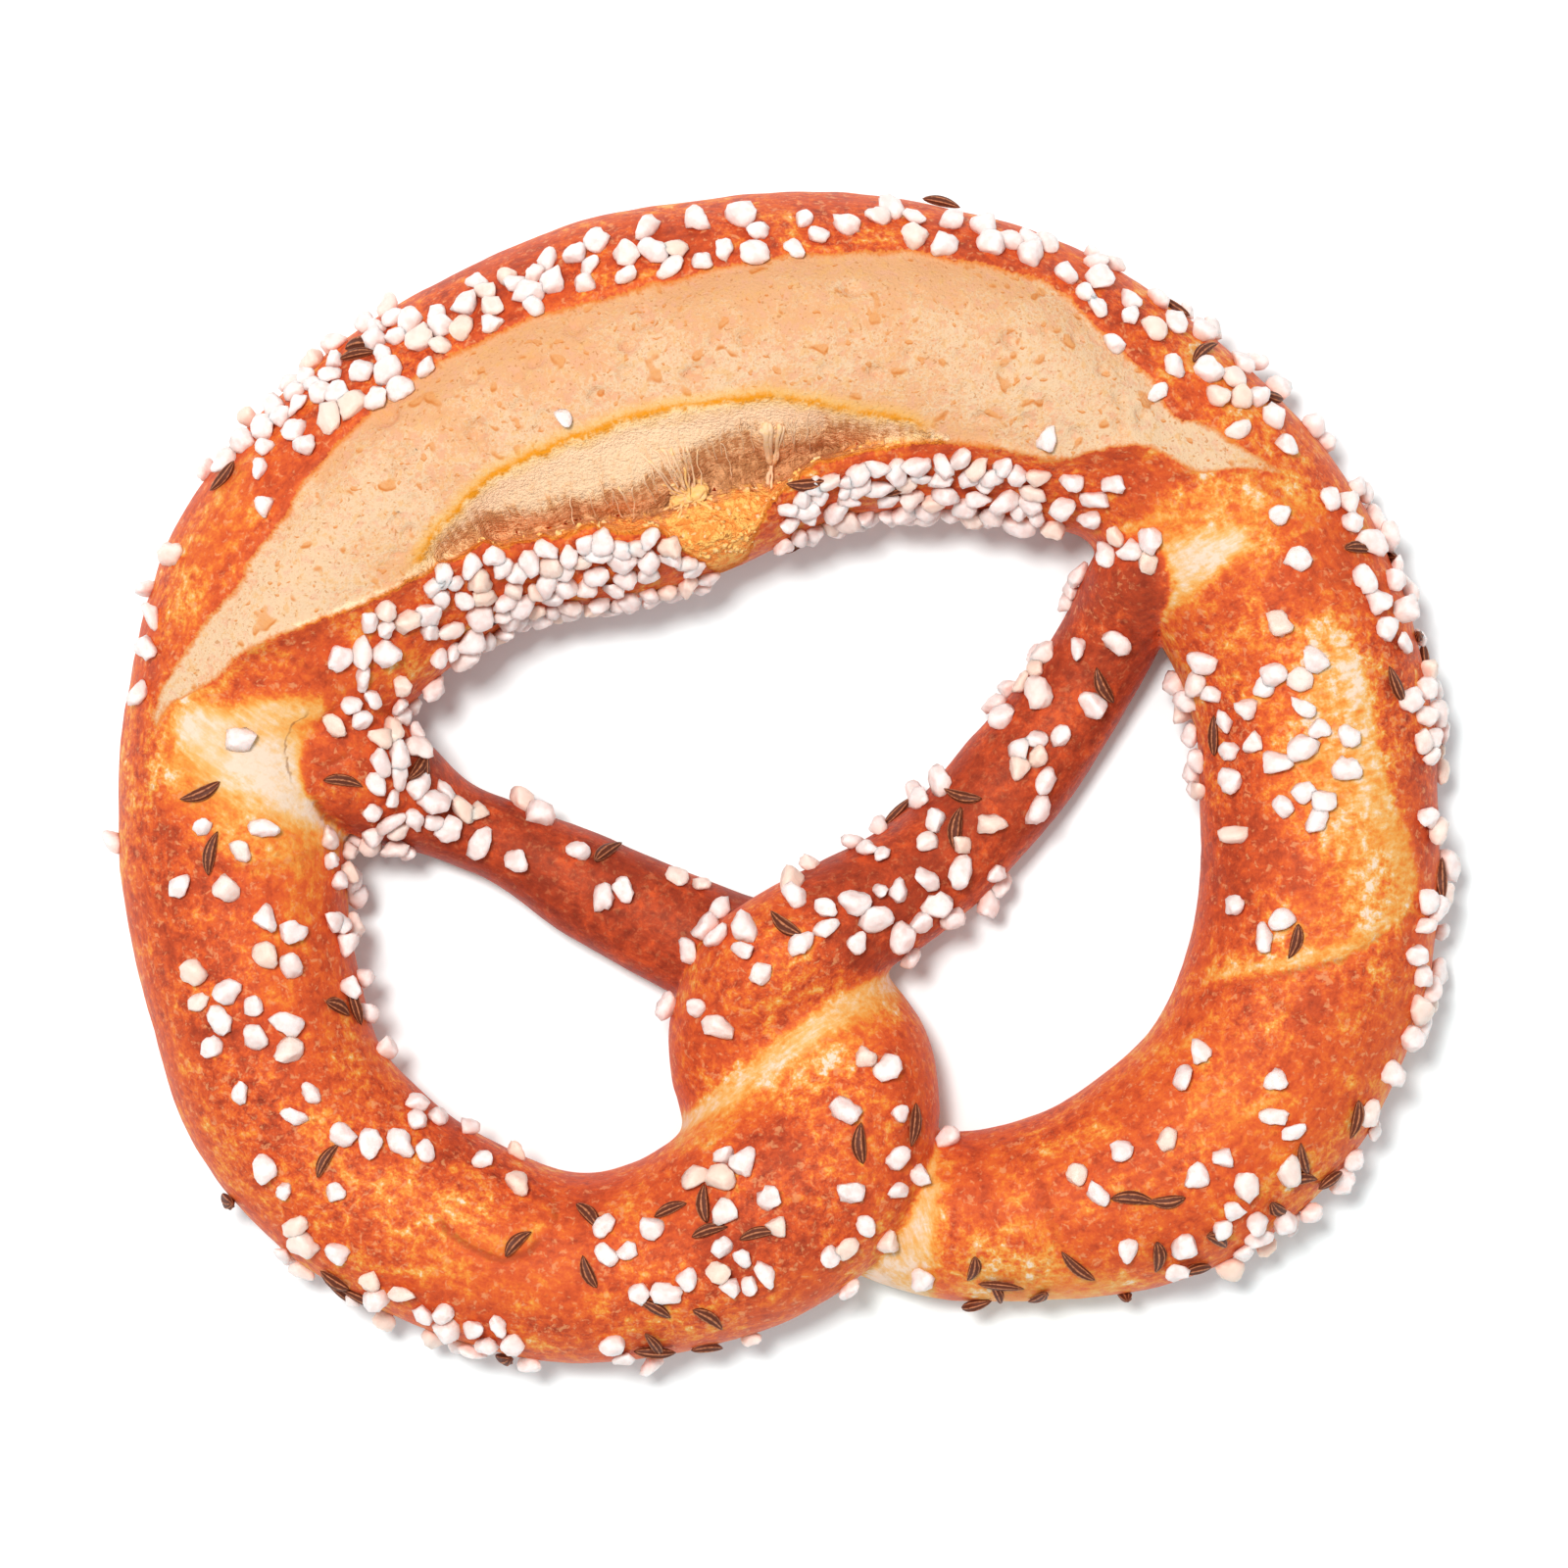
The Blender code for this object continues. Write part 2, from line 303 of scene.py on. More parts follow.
class Gathering:
    # Many small shapes put together as one piece, with the numbers its material reads.
    def __init__(self):
        self.places, self.faces, self.values = [], [], {}
        self.count = 0

    def add(self, places, faces, **values):
        self.faces += [[v + self.count for v in face] for face in faces]
        self.count += len(places)
        self.places.append(places)
        for name, value in values.items():
            self.values.setdefault(name, []).append(np.full(len(places), value))

    def makePiece(self, name):
        mesh = newMesh(name, np.concatenate(self.places) * mm, self.faces)
        mesh.shade_smooth()
        for key, parts in self.values.items():
            keepValues(mesh, key, np.concatenate(parts))
        return newPiece(name, mesh)


def reshape(piece, kind, **settings):
    # A modifier of a kind, set up and applied.
    modifier = piece.modifiers.new(kind, kind)
    for name, value in settings.items():
        setattr(modifier, name, value)
    graph = bpy.context.evaluated_depsgraph_get()
    done = bpy.data.meshes.new_from_object(piece.evaluated_get(graph))
    old = piece.data
    piece.modifiers.clear()
    piece.data = done
    done.name = piece.name
    bpy.data.meshes.remove(old)


# The dough: how it is fused from the rope, smoothed and roughened.
dough = {
    "voxel": 0.5,                # mm, fineness of the fused skin
    "triangles": 188000,
    # where strands have baked into each other: x, y, reach in mm
    "melts": [(-57, 4.5, 10), (46, 27.5, 8), (12.5, -26, 5), (7, -29.5, 8),
              (0.5, -33.8, 8), (-6, -38.5, 8), (-10.5, -41.5, 5)],
    "meltSteps": 140,
    "lumps": [(24.0, 0.4), (8.0, 0.22), (3.2, 0.08), (1.4, 0.03)],   # size and height, mm
    "pores": 120,
    "poreStretch": (30, 132),    # mm along the belly
    "poreRadius": (0.45, 1.45),  # mm
    "poreDepth": 0.6,            # share of the radius
    "upperSide": 8.0,            # mm, height above which the crust takes creases and the cut
    "cutHeight": 18.0,           # mm, height above which all of the open cut lies
}

# Folds pressed into the crust: width and depth in mm, and the chain of places they follow.
creases = [
    (0.6, 0.5, [(-56.2, -2), (-54.6, -4.6), (-51.8, -6.6)]),
    (0.5, 0.3, [(-52, 9), (-54.2, 7.4), (-55.6, 5.2)]),
    (0.45, 0.4, [(-50.6, 3.4), (-53.4, 1.8), (-55.8, 0.6)]),
    (0.6, 0.45, [(-41.3, -52.6), (-39, -55), (-36.6, -56.6), (-33.2, -57.9), (-30, -56.9),
                 (-28, -54.8)]),
    (0.5, 0.3, [(-28.6, -49), (-27.2, -50.4), (-26.8, -53), (-27.4, -55)]),
    (0.6, 0.3, [(52, -25.2), (60, -23.6), (68, -21.6), (73.5, -18)]),
]

# Baking is painted on in strokes: how pale (below 0 darker, 0.5 unbaked), how soft the
# stroke's edge is, the stretches it keeps to, and a chain of places with their reach in mm.
bakeStrokes = [
    (-0.265, 0.6, "leftArm", [(-46, -1.5, 8), (-30, -10, 12), (0, -24, 13)]),
    (-0.24, 0.6, "rightArm", [(5, -18, 11), (30, 2, 11), (41, 20, 9)]),
    (-0.03, 0.8, "rightLobe", [(58, -28, 8), (66, -30, 7)]),
    (0.04, 0.9, "rightLobe", [(72, -30, 7), (60, -48, 7), (45, -54, 6)]),
    (-0.1, 0.8, "leftLobe", [(-45, -40, 4), (-32, -49, 4)]),
    (0.14, 0.9, "belly", [(-71.5, 19, 2.5), (-69, 27, 3.2), (-62, 38, 3)]),
    (0.16, 0.9, "belly rightLobe", [(49.5, 50, 1.6), (54.5, 45.8, 2.6), (58.5, 41, 2.2)]),
    (0.14, 0.9, "leftLobe", [(-56.5, -9, 4), (-58, -17, 2.2), (-62.5, -27, 3.2), (-61.5, -36, 3.2),
                             (-55, -42.5, 3)]),
    (0.08, 0.9, "leftLobe", [(-46, -55, 4), (-36, -59, 4), (-24, -62, 4)]),
    (-0.1, 0.9, "leftLobe", [(-72, -4, 6), (-70, -22, 6), (-60, -42, 5)]),
    (-0.1, 0.9, "rightLobe", [(54, 8, 4), (54.5, -4, 4.5), (53, -14, 4)]),
    (-0.15, 0.9, "neckOver leftLobe", [(-2, -44, 4), (2, -52, 6), (-6, -58, 6)]),
    (0.2, 0.8, "leftLobe", [(-40.5, -51.5, 0.8), (-38.2, -53.6, 1.1), (-36.1, -55.2, 1.1),
                            (-33.2, -56.4, 1.3), (-30.5, -55.4, 1.2), (-28.9, -53.6, 0.9)]),
    (-0.07, 0.9, "belly", [(-51, 48.5, 3.5), (-38, 58, 4.5), (-22, 63.6, 4.5), (3.7, 67, 4.5),
                           (20.6, 65.4, 4.5), (37.6, 58.6, 4), (44, 54.6, 3)]),
    (0.11, 0.9, "rightLobe", [(57, 15, 4), (62, 8, 6), (66, -6, 7), (66, -14, 6)]),
    (-0.1, 0.8, "rightLobe", [(73.5, 16, 3), (76.5, 8, 3), (78.5, 0, 2.6), (80, -8, 2)]),
    (-0.06, 0.9, "rightLobe", [(59.5, -8.5, 3.4), (62, -12.5, 2.6)]),
    (0.27, 1, "rightLobe", [(64.8, 17, 3), (66.2, 8, 4.4), (67.2, 0, 4.6), (69, -7, 4.2),
                            (70.5, -14, 3.2)]),
    (0.34, 0.5, "rightLobe", [(67, 17, 1.4), (69.2, 11, 2), (70, 4, 2.4), (71.4, -2, 2.4),
                              (74, -7.5, 2), (75.4, -12.5, 1.6)]),
    (0.32, 0.5, "rightLobe", [(75.4, -12.5, 1.4), (73.5, -16.5, 1.5), (68.5, -19.8, 1.6),
                              (61, -21.9, 1.3), (52, -23.6, 0.9)]),
    (0.18, 0.9, "rightLobe", [(22.5, -58, 2), (27, -60, 4), (35, -60, 3.5)]),
    (0.16, 0.9, "rightLobe", [(25.5, -46, 0.8), (29, -53, 1.4), (33, -56.5, 1.8)]),
    (0.22, 0.8, "rightLobe", [(20, -45, 0.3), (22, -52, 0.7), (23.5, -56, 1)]),
    (0.14, 0.9, "rightLobe", [(52, -38, 5), (60, -44, 5)]),
    (0.24, 0.9, "rightLobe", [(21.5, -60, 2.2), (27, -61.8, 3), (35, -62, 2.6), (42, -60.5, 1.6)]),
    (0.09, 0.9, "rightLobe", [(44, -33.5, 3), (49, -35, 4), (53, -31, 3)]),
    (0.1, 0.9, "rightLobe", [(33, -46, 2.5), (39, -43, 2.5)]),
    (-0.1, 0.6, "rightLobe", [(20.8, -50, 0.5), (21.2, -56, 0.8), (20.8, -60, 0.8)]),
    (0.42, 0.3, "rightLobe neckUnder", [(18.9, -44.5, 0.4), (18.3, -50, 1.3), (17, -55, 2.4),
                                        (14.5, -61.5, 4.8)]),
    (0.22, 1, "belly rightLobe", [(47, 29, 5), (54, 31, 7), (60, 33, 5)]),
    (0.46, 1, "belly rightLobe", [(43, 18.2, 2), (44.4, 21.6, 3.6), (47, 24.4, 4.2),
                                  (50.6, 26.6, 3.4), (55, 28.4, 1.8)]),
    (-0.15, 0.4, "", [(40.4, 26, 3.1), (38.8, 19.5, 3.8)]),
    (0.34, 0.9, "", [(41.6, 30, 0.5), (46, 31.2, 0.8)]),
    (0.26, 1, "belly leftLobe", [(-70.5, 8, 4.4), (-71, 1, 5.4), (-66, -4, 5.4),
                                 (-58, -7.8, 4.4)]),
    (0.52, 1, "belly leftLobe", [(-69.5, 5.8, 3), (-65.5, 3.8, 5.4), (-61, 2, 6.4),
                                 (-57.6, -2, 4.4), (-54.6, -5, 2.6), (-51.6, -7, 1.4)]),
    (0.46, 0.9, "belly leftLobe", [(-62, 7.4, 2.6), (-55.6, 8.4, 1.6)]),
    (-0.03, 0.3, "", [(-51.4, 3.8, 4.2), (-51.2, 0.2, 4.7), (-47, -2, 4.8)]),
    (0.1, 0.9, "", [(-51, 12, 2), (-45.5, 13.5, 2.5)]),
    (0.2, 1, "", [(12, -27, 3.4), (6.5, -31, 4.2), (0, -35.5, 4.2), (-6.5, -40.4, 3.2),
                  (-12, -43.6, 2)]),
    (0.39, 1, "", [(14.2, -24.6, 1.8), (8, -27.6, 2), (1, -32.4, 1.9), (-6, -37.8, 1.6),
                   (-12.4, -42.4, 0.8)]),
]

# Which way the fine streaks of stretched dough run: a place, its reach in mm, and the way.
streakWays = [
    ((1, -33.5), 17, (0.84, 0.55)),
    ((68, 3), 21, (0.96, 0.28)),
    ((66, -20), 9, (0.96, 0.22)),
    ((-63, 2), 13, (0.80, -0.60)),
    ((52, 25), 12, (0.88, 0.47)),
    ((22, -54), 11, (0.25, -0.97)),
]

# A fine crack in the pale dough beside the left end: its line, as y and x in mm, and the
# height that it stays above.
crack = {
    "line": [(-1, -58.4), (1.2, -58.9), (3.3, -59.3), (4.6, -59), (6.2, -58.5), (6.9, -57.7),
             (7.4, -56.4)],
    "above": 12.0,
}


def sleeveFaces(count, around):
    # The faces between one ring of points and the next.
    ring = np.arange(around)
    after = (ring + 1) % around
    quad = np.column_stack([ring, after, after + around, ring + around])
    return np.concatenate([quad + k * around for k in range(count - 1)]).tolist()


def tipFaces(count, around):
    # A fan at each end of a sleeve, to two last points that are its tips.
    tip, last = count * around, (count - 1) * around
    faces = []
    for a in range(around):
        b = (a + 1) % around
        faces += [(tip, b, a), (tip + 1, last + a, last + b)]
    return faces


def strandShell(laid, withCut):
    rings = []
    for i, row in enumerate(laid["rows"]):
        side, height, isTop = sectionRing(row)
        along = np.full_like(side, laid["at"][i] - bellyStart)
        if withCut and cutFrom < along[0] < cutTo:
            height = height + np.where(isTop, cutShape(along, row[2] / 2 - side), 0.0)
        rings.append(np.column_stack([row[:2] + np.outer(side, laid["out"][i]), height]))
    tips = [np.append(laid["rows"][i, :2], laid["rows"][i, 3:].mean()) for i in (0, -1)]
    faces = sleeveFaces(len(rings), len(rings[0])) + tipFaces(len(rings), len(rings[0]))
    return np.concatenate(rings + [np.array(tips)]), faces


def ropePlaces(points):
    # For points in mm: how far along the rope, and to the left of its middle.
    last = len(strand["at"]) - 1
    step = strand["at"][1]
    ring = np.array([ropeTree.find(p)[1] for p in points])
    along = strand["at"][ring]
    for turn in range(2):
        gap = points[:, :2] - strand["rows"][ring, :2]
        along = strand["at"][ring] + (gap * strand["ahead"][ring]).sum(axis=1)
        ring = np.clip(np.round(along / step).astype(int), 0, last)
    gap = points[:, :2] - strand["rows"][ring, :2]
    return along, (gap * strand["out"][ring]).sum(axis=1), strand["rows"][ring, 2] / 2


def alongChain(points, chain):
    # For each link of a chain: how far the points lie from it, and how far along it is nearest.
    chain = np.array(chain, dtype=float)
    for start, end in zip(chain[:-1], chain[1:]):
        way = end[:2] - start[:2]
        t = np.clip(((points[:, :2] - start[:2]) @ way) / (way @ way), 0.0, 1.0)
        yield np.hypot(*(points[:, :2] - start[:2] - t[:, None] * way).T), t, start, end


def chainReach(points, chain, soft):
    # 1 on the chain, 0 beyond its reach.
    best = np.zeros(len(points))
    for far, t, start, end in alongChain(points, chain):
        reach = start[2] + t * (end[2] - start[2])
        best = np.maximum(best, 1 - ease(1.0 - 0.6 * soft, 1.0 + 0.3 * soft, far / reach))
    return best


def creaseDepth(points):
    depth = np.zeros(len(points))
    for width, deepest, chain in creases:
        gap = np.min([far for far, t, start, end in alongChain(points, chain)], axis=0)
        toEnd = np.min([np.hypot(*(points[:, :2] - tip).T) for tip in (chain[0], chain[-1])],
                       axis=0)
        taper = ease(0.0, 2.5, toEnd + 0.6) * (points[:, 2] > dough["upperSide"])
        depth = np.maximum(depth, deepest * np.exp(-(gap / width) ** 2) * taper)
    return depth


def poreDips(along, across):
    # A few larger bubbles of the open crumb, as shallow pits.
    dice = np.random.RandomState(5)
    middles = dice.uniform(*dough["poreStretch"], dough["pores"])
    outer, crest = cutEdges(middles)[:2]
    share = dice.uniform(0.03, 0.97, len(middles)) ** 0.8
    least, most = dough["poreRadius"]
    radii = least + (most - least) * dice.uniform(size=len(middles)) ** 3
    dip = np.zeros(len(along))
    for middle, place, radius in zip(middles, outer + 1.0 + share * (crest - outer - 2.5), radii):
        far = np.hypot((along - middle) / 1.3, across - place)
        dip = np.maximum(dip, dough["poreDepth"] * radius * (1 - ease(0.3, 1.0, far / radius)))
    return dip


def makeDough():
    shells = Gathering()
    shells.add(ropeShell, ropeFaces)
    shells.add(*strandShell(layStrand(neckWeb), False))
    piece = shells.makePiece("dough")
    reshape(piece, "REMESH", mode="VOXEL", voxel_size=dough["voxel"] * mm)
    print("dough fused:", len(piece.data.vertices), "points")

    points = readPoints(piece.data)[0]
    weight = np.zeros(len(points))
    for x, y, reach in dough["melts"]:
        far = np.hypot(points[:, 0] - x, points[:, 1] - y)
        weight = np.maximum(weight, 1 - ease(reach * 0.5, reach, far))
    melt = piece.vertex_groups.new(name="melt")
    for level in (0.25, 0.5, 0.75, 1.0):
        chosen = np.nonzero((weight > level - 0.25) & (weight <= level))[0].tolist()
        melt.add(chosen, level, "REPLACE")
    reshape(piece, "SMOOTH", vertex_group="melt", iterations=dough["meltSteps"])
    reshape(piece, "SMOOTH", iterations=1)
    piece.vertex_groups.clear()

    points, normals = readPoints(piece.data)
    lift = np.zeros(len(points))
    for k, (size, height) in enumerate(dough["lumps"]):
        lift += height * softNoise(points, size, 5.3 * k)
    top = (points[:, 2] > dough["cutHeight"]) & (points[:, 1] > 0) & (normals[:, 2] > 0.3)
    along, side, half = ropePlaces(points[top])
    lift[top] -= poreDips(along - bellyStart, half - side)
    lift -= creaseDepth(points)
    movePoints(piece.data, points + normals * lift[:, None])
    piece.data.calc_loop_triangles()
    reshape(piece, "DECIMATE", ratio=dough["triangles"] / len(piece.data.loop_triangles))
    points = readPoints(piece.data)[0]
    points[:, 2] = np.maximum(points[:, 2], 0.0)
    movePoints(piece.data, points)
    piece.data.shade_smooth()
    print("dough shaped:", len(piece.data.vertices), "points", len(piece.data.polygons), "faces")
    return piece


def smoothValues(mesh, values, turns):
    # Each point's number drawn towards those of its neighbours.
    ends = np.empty(len(mesh.edges) * 2, dtype=np.int32)
    mesh.edges.foreach_get("vertices", ends)
    a, b = ends.reshape(-1, 2).T
    count = np.bincount(a, minlength=len(values)) + np.bincount(b, minlength=len(values))
    for turn in range(turns):
        total = (np.bincount(a, values[b], len(values)) + np.bincount(b, values[a], len(values)))
        values = 0.5 * values + 0.5 * total / np.maximum(count, 1)
    return values


def markDough(mesh):
    # What the crust's material needs to know at each point.
    points, normals = readPoints(mesh)
    along, side, half = ropePlaces(points)
    bellyAlong = along - bellyStart
    across = half - side
    outer, crest, lip, torn, brownAndShade, golden = cutEdges(bellyAlong)
    inCut = np.minimum(across - outer, lip - across)
    inCut = np.minimum(inCut, np.minimum(bellyAlong - cutFrom, cutTo - bellyAlong))
    onTop = (normals[:, 2] > -0.1) & (points[:, 2] > dough["upperSide"])
    inCut = np.where(onTop, inCut, -10.0)
    wall = np.where((torn > 0.0) & (inCut > -3.0), across - crest, -10.0)
    bakeAndSheen = np.zeros(len(points))
    for target, soft, names, chain in bakeStrokes:
        where = np.zeros(len(points), dtype=bool)
        for name in names.split() or list(rope):
            where |= (along >= stretchStart[name] - 1.0) & (along <= stretchEnd[name] + 1.0)
        stroke = smoothValues(mesh, chainReach(points, chain, soft) * where, 2)
        bakeAndSheen = bakeAndSheen * (1 - stroke) + target * stroke
    # painted sheen: the steep flanks are painted a little paler
    bakeAndSheen += 0.04 * ease(0.75, 1.0, np.abs(side) / half) * ease(-0.2, 0.5, 1 - normals[:, 2])
    flow = np.column_stack([along, side])
    for place, reach, way in streakWays:
        near = np.hypot(*(points[:, :2] - place).T) < reach
        turned = np.column_stack([points[:, :2] @ way, points[:, :2] @ (-way[1], way[0])])
        flow[near] = turned[near]
    x, y, height = points.T
    crackY, crackX = np.array(crack["line"]).T
    marks = {
        "cut": np.clip(inCut, -10.0, 10.0),
        "wall": np.clip(wall, -10.0, 15.0),
        "torn": torn,
        # mm past where the brown and painted shade of the hollow begin
        "brownAndShaded": np.where(inCut > -2.0, np.clip(across - brownAndShade, -8.0, 8.0), -8.0),
        "golden": np.where(inCut > -2.0, np.clip(across - golden, -8.0, 8.0), -8.0),
        "towardsEnds": ease(26.0, 60.0, np.abs(bellyAlong - 75.0)),
        "bakeAndSheen": bakeAndSheen,
        "base": 1 - ease(0.3, 2.5, height),
        # how steep the sides are; the material paints them lighter as painted sheen
        "flank": ease(0.15, 0.95, 1 - normals[:, 2]),
        "grain": np.column_stack([along, side, height]),
        "flow": np.column_stack([flow[:, 0] * 0.22, flow[:, 1], height]),
        "crease": creaseDepth(points),
        "crack": np.clip(x - np.interp(y, crackY, crackX), -6.0, 6.0),
        "crackRun": ease(-1.0, 1.0, y) * (1 - ease(7.4, 8.0, y)) * (height > crack["above"]),
    }
    for name, values in marks.items():
        keepValues(mesh, name, values)


ropeShell, ropeFaces = strandShell(strand, True)
ringPoints = section["pointsOverTop"] + section["pointsUnder"]
ropeTree = KDTree(len(ropeShell))
for i in range(0, len(ropeShell) - 2, 3):
    ropeTree.insert(ropeShell[i], min(i // ringPoints, len(strand["at"]) - 1))
ropeTree.balance()
doughPiece = makeDough()
markDough(doughPiece.data)
print("dough marked")

# Grains of coarse salt on each stretch of rope: from and to in mm along it, the side from and
# to (-1 inner edge, +1 outer edge, past 1 on the flank), and how many.
saltZones = {
    "leftArm": [(16, 34, -0.5, 1.15, 8), (34, 60, -0.4, 1, 6)],
    "neckOver": [
        (0, 18, 0, 1, 13), (18, 28, -0.6, 0.3, 9), (18, 30, 0.4, 1.1, 6), (28, 46, -0.5, 1.1, 11),
    ],
    "leftLobe": [
        (2, 32, 0.6, 1.15, 22), (10, 42, -1.1, -0.5, 10), (28, 50, -0.5, 0.6, 11),
        (48, 76, -1.2, -0.8, 16), (48, 76, -0.5, 0.45, 15),
    ],
    "belly": [
        (0, 8, -0.3, 0.1, 1), (2, 20, 0.8, 1, 4), (16, 30, -1.05, -0.3, 12),
        (24, 34, 0.52, 1.02, 12), (34, 48, 0.54, 0.96, 25), (48, 66, 0.56, 0.85, 18),
        (66, 92, 0.56, 0.83, 17), (92, 108, 0.62, 0.87, 9), (108, 128, 0.6, 1, 15),
        (128, 146, 0.5, 1.12, 17), (28, 46, -1.1, -0.38, 24), (44, 72, -1.1, -0.72, 46),
        (82, 100, -1.1, -0.7, 34), (100, 122, -1.08, -0.55, 32), (120, 132, -0.95, -0.5, 7),
    ],
    "rightLobe": [
        (2, 14, 0.1, 0.9, 4), (4, 32, 0.68, 1.18, 28), (12, 36, -0.6, 0.3, 14),
        (14, 36, -1.15, -0.7, 14), (32, 60, 0.8, 1.15, 17), (34, 54, -1.05, 0.2, 7),
        (60, 84, 0.8, 1.12, 9), (68, 98, -0.6, 0.6, 14), (76, 94, 0.55, 1.1, 9),
    ],
    "neckUnder": [(22, 39, -0.2, 1.1, 13)],
    "rightArm": [
        (0, 20, -1, 1.05, 24), (20, 44, -0.7, 0.6, 10), (18, 60, 0.75, 1.2, 16),
        (44, 62, -0.6, 0.5, 5),
    ],
}
# Grains crowded along the torn lip: from and to along the belly, how far past the lip they
# lie in mm, and how many.
saltRims = [
    (32, 46, 0.6, 3.4, 13), (44, 67, 0.6, 3.2, 26), (64.5, 68.5, 0.6, 3.6, 7),
    (80.5, 86, 2.4, 5, 5), (85, 108, 1.2, 4, 20), (105, 119, 0.8, 3.4, 10),
]
# Grains that have come to rest on the open dough.
strayGrains = [(-25.6, 42.7), (31.8, 40.6), (-45, 46.3), (-42, 49), (40.1, 52),
               (45.3, 46.1), (54.9, 41.6), (-72.3, 26.8)]
# Heaps of grains: a line from one place to another, its reach in mm, and how many.
saltHeaps = [
    ((-47, 10), (-45.5, 3), 2.2, 9),
    ((-46, 3), (-47, -8), 2.4, 13),
    ((-43, -3), (-38, -5), 2.2, 5),
    ((-54, 8.5), (-50, 5), 1.8, 3),
]
salt = {
    "size": (2.5, 3.7),          # mm, narrowest and widest grain
    "cuts": (8, 12),             # flat faces of a grain, fewest and most
    "worn": 0.050,               # how softly its faces meet
    "gap": 0.78,                 # least spacing, as a share of the grains' size
    "crowdedGap": 0.70,
    "tries": 14,                 # throws for each grain that is wanted
    "crowdedTries": 20,
    "sunk": 0.27,                # how far a grain sits in the crust, as a share of its size
    "tilt": 0.35,
    # between these heights the foot of a grain is painted peach, a painted reflection of the crust's
    # colour
    "footHeights": (-0.45, 0.25),
    "colour": (1.26, 1.11, 1.07),
    "shade": (1.20, 0.98, 0.92),
    "tinted": (1.22, 0.92, 0.76),
    # painted reflection of the crust
    "foot": (1.20, 0.72, 0.54),
    "roughness": 0.45,
    "shine": 0.25,
    "glow": 0.7,                 # how far light passes through a grain, in share and in mm
    "glowTint": (1.0, 0.75, 0.7),
    "glowReach": 1.2,
}


def roundBall(fineness, cuts=0):
    # The points and faces of a ball.
    ball = bmesh.new()
    bmesh.ops.create_icosphere(ball, subdivisions=fineness, radius=1.0)
    if cuts:
        bmesh.ops.subdivide_edges(ball, edges=ball.edges[:], cuts=cuts, use_grid_fill=True)
        bmesh.ops.triangulate(ball, faces=ball.faces[:])
    places = np.array([v.co[:] for v in ball.verts])
    faces = [[v.index for v in f.verts] for f in ball.faces]
    ball.free()
    return places / np.linalg.norm(places, axis=1)[:, None], faces


def grainShape(dice, ball):
    # A crystal: flat faces cut round a ball, their edges worn soft.
    ways = dice.normal(size=(dice.randint(*salt["cuts"]), 3))
    ways /= np.linalg.norm(ways, axis=1)[:, None]
    facing = np.maximum(ball @ ways.T, 0.0) / dice.uniform(0.70, 1.0, len(ways))
    worn = salt["worn"]
    radius = ((facing ** (1 / worn)).sum(axis=1) + 0.78 ** (1 / worn)) ** -worn
    shape = ball * radius[:, None] * np.array([dice.uniform(1.0, 1.5), 1.0,
                                               dice.uniform(0.75, 0.95)])
    shape *= 1 + 0.16 * softNoise(shape, 0.55, dice.uniform(0, 50))[:, None]
    return shape / np.ptp(shape, axis=0)[:2].mean()


dropHeight = 60.0     # mm, above everything
flankFrom = 0.93      # share of the half width, past which things are thrown from the side
doughTree = BVHTree.FromPolygons(
    [tuple(v.co / mm) for v in doughPiece.data.vertices],
    [tuple(p.vertices) for p in doughPiece.data.polygons])


def dropOn(x, y):
    # Where something dropped from above lands, and the way out of the crust there.
    return doughTree.ray_cast(Vector((x, y, dropHeight)), Vector((0, 0, -1)))[:2]


def ringAt(along):
    # The section of the rope nearest to a distance along it.
    return int(round(np.clip(along, 0, strand["at"][-1]) / strand["at"][1]))


def landOn(along, side):
    # Where something thrown at the rope comes to rest, and the way out of the crust there.
    i = ringAt(along)
    x, y, width, under, top = strand["rows"][i]
    out = strand["out"][i]
    if abs(side) < flankFrom:
        return dropOn(*(np.array([x, y]) + out * side * width / 2))
    height = under + (0.5 - 1.1 * (abs(side) - 1.0)) * (top - under)
    place = np.array([x, y]) + out * np.sign(side) * (width / 2 + 6.0)
    back = Vector((*(-out * np.sign(side)), 0.0))
    return doughTree.ray_cast(Vector((*place, height)), back)[:2]


def layOn(normal, *turns):
    # The turn that lays a shape on the crust, tilted and spun.
    lay = normal.to_track_quat("Z", "Y").to_matrix()
    return np.array(lay @ Euler(turns).to_matrix()).T


def insideCut(place):
    along, side, half = ropePlaces(np.array([place[:]]))
    bellyAlong = along[0] - bellyStart
    if not cutFrom < bellyAlong < cutTo:
        return False
    outer, crest, lip = edgesAt(bellyAlong)[:3]
    return outer - 0.2 < (half - side)[0] < lip + 0.8


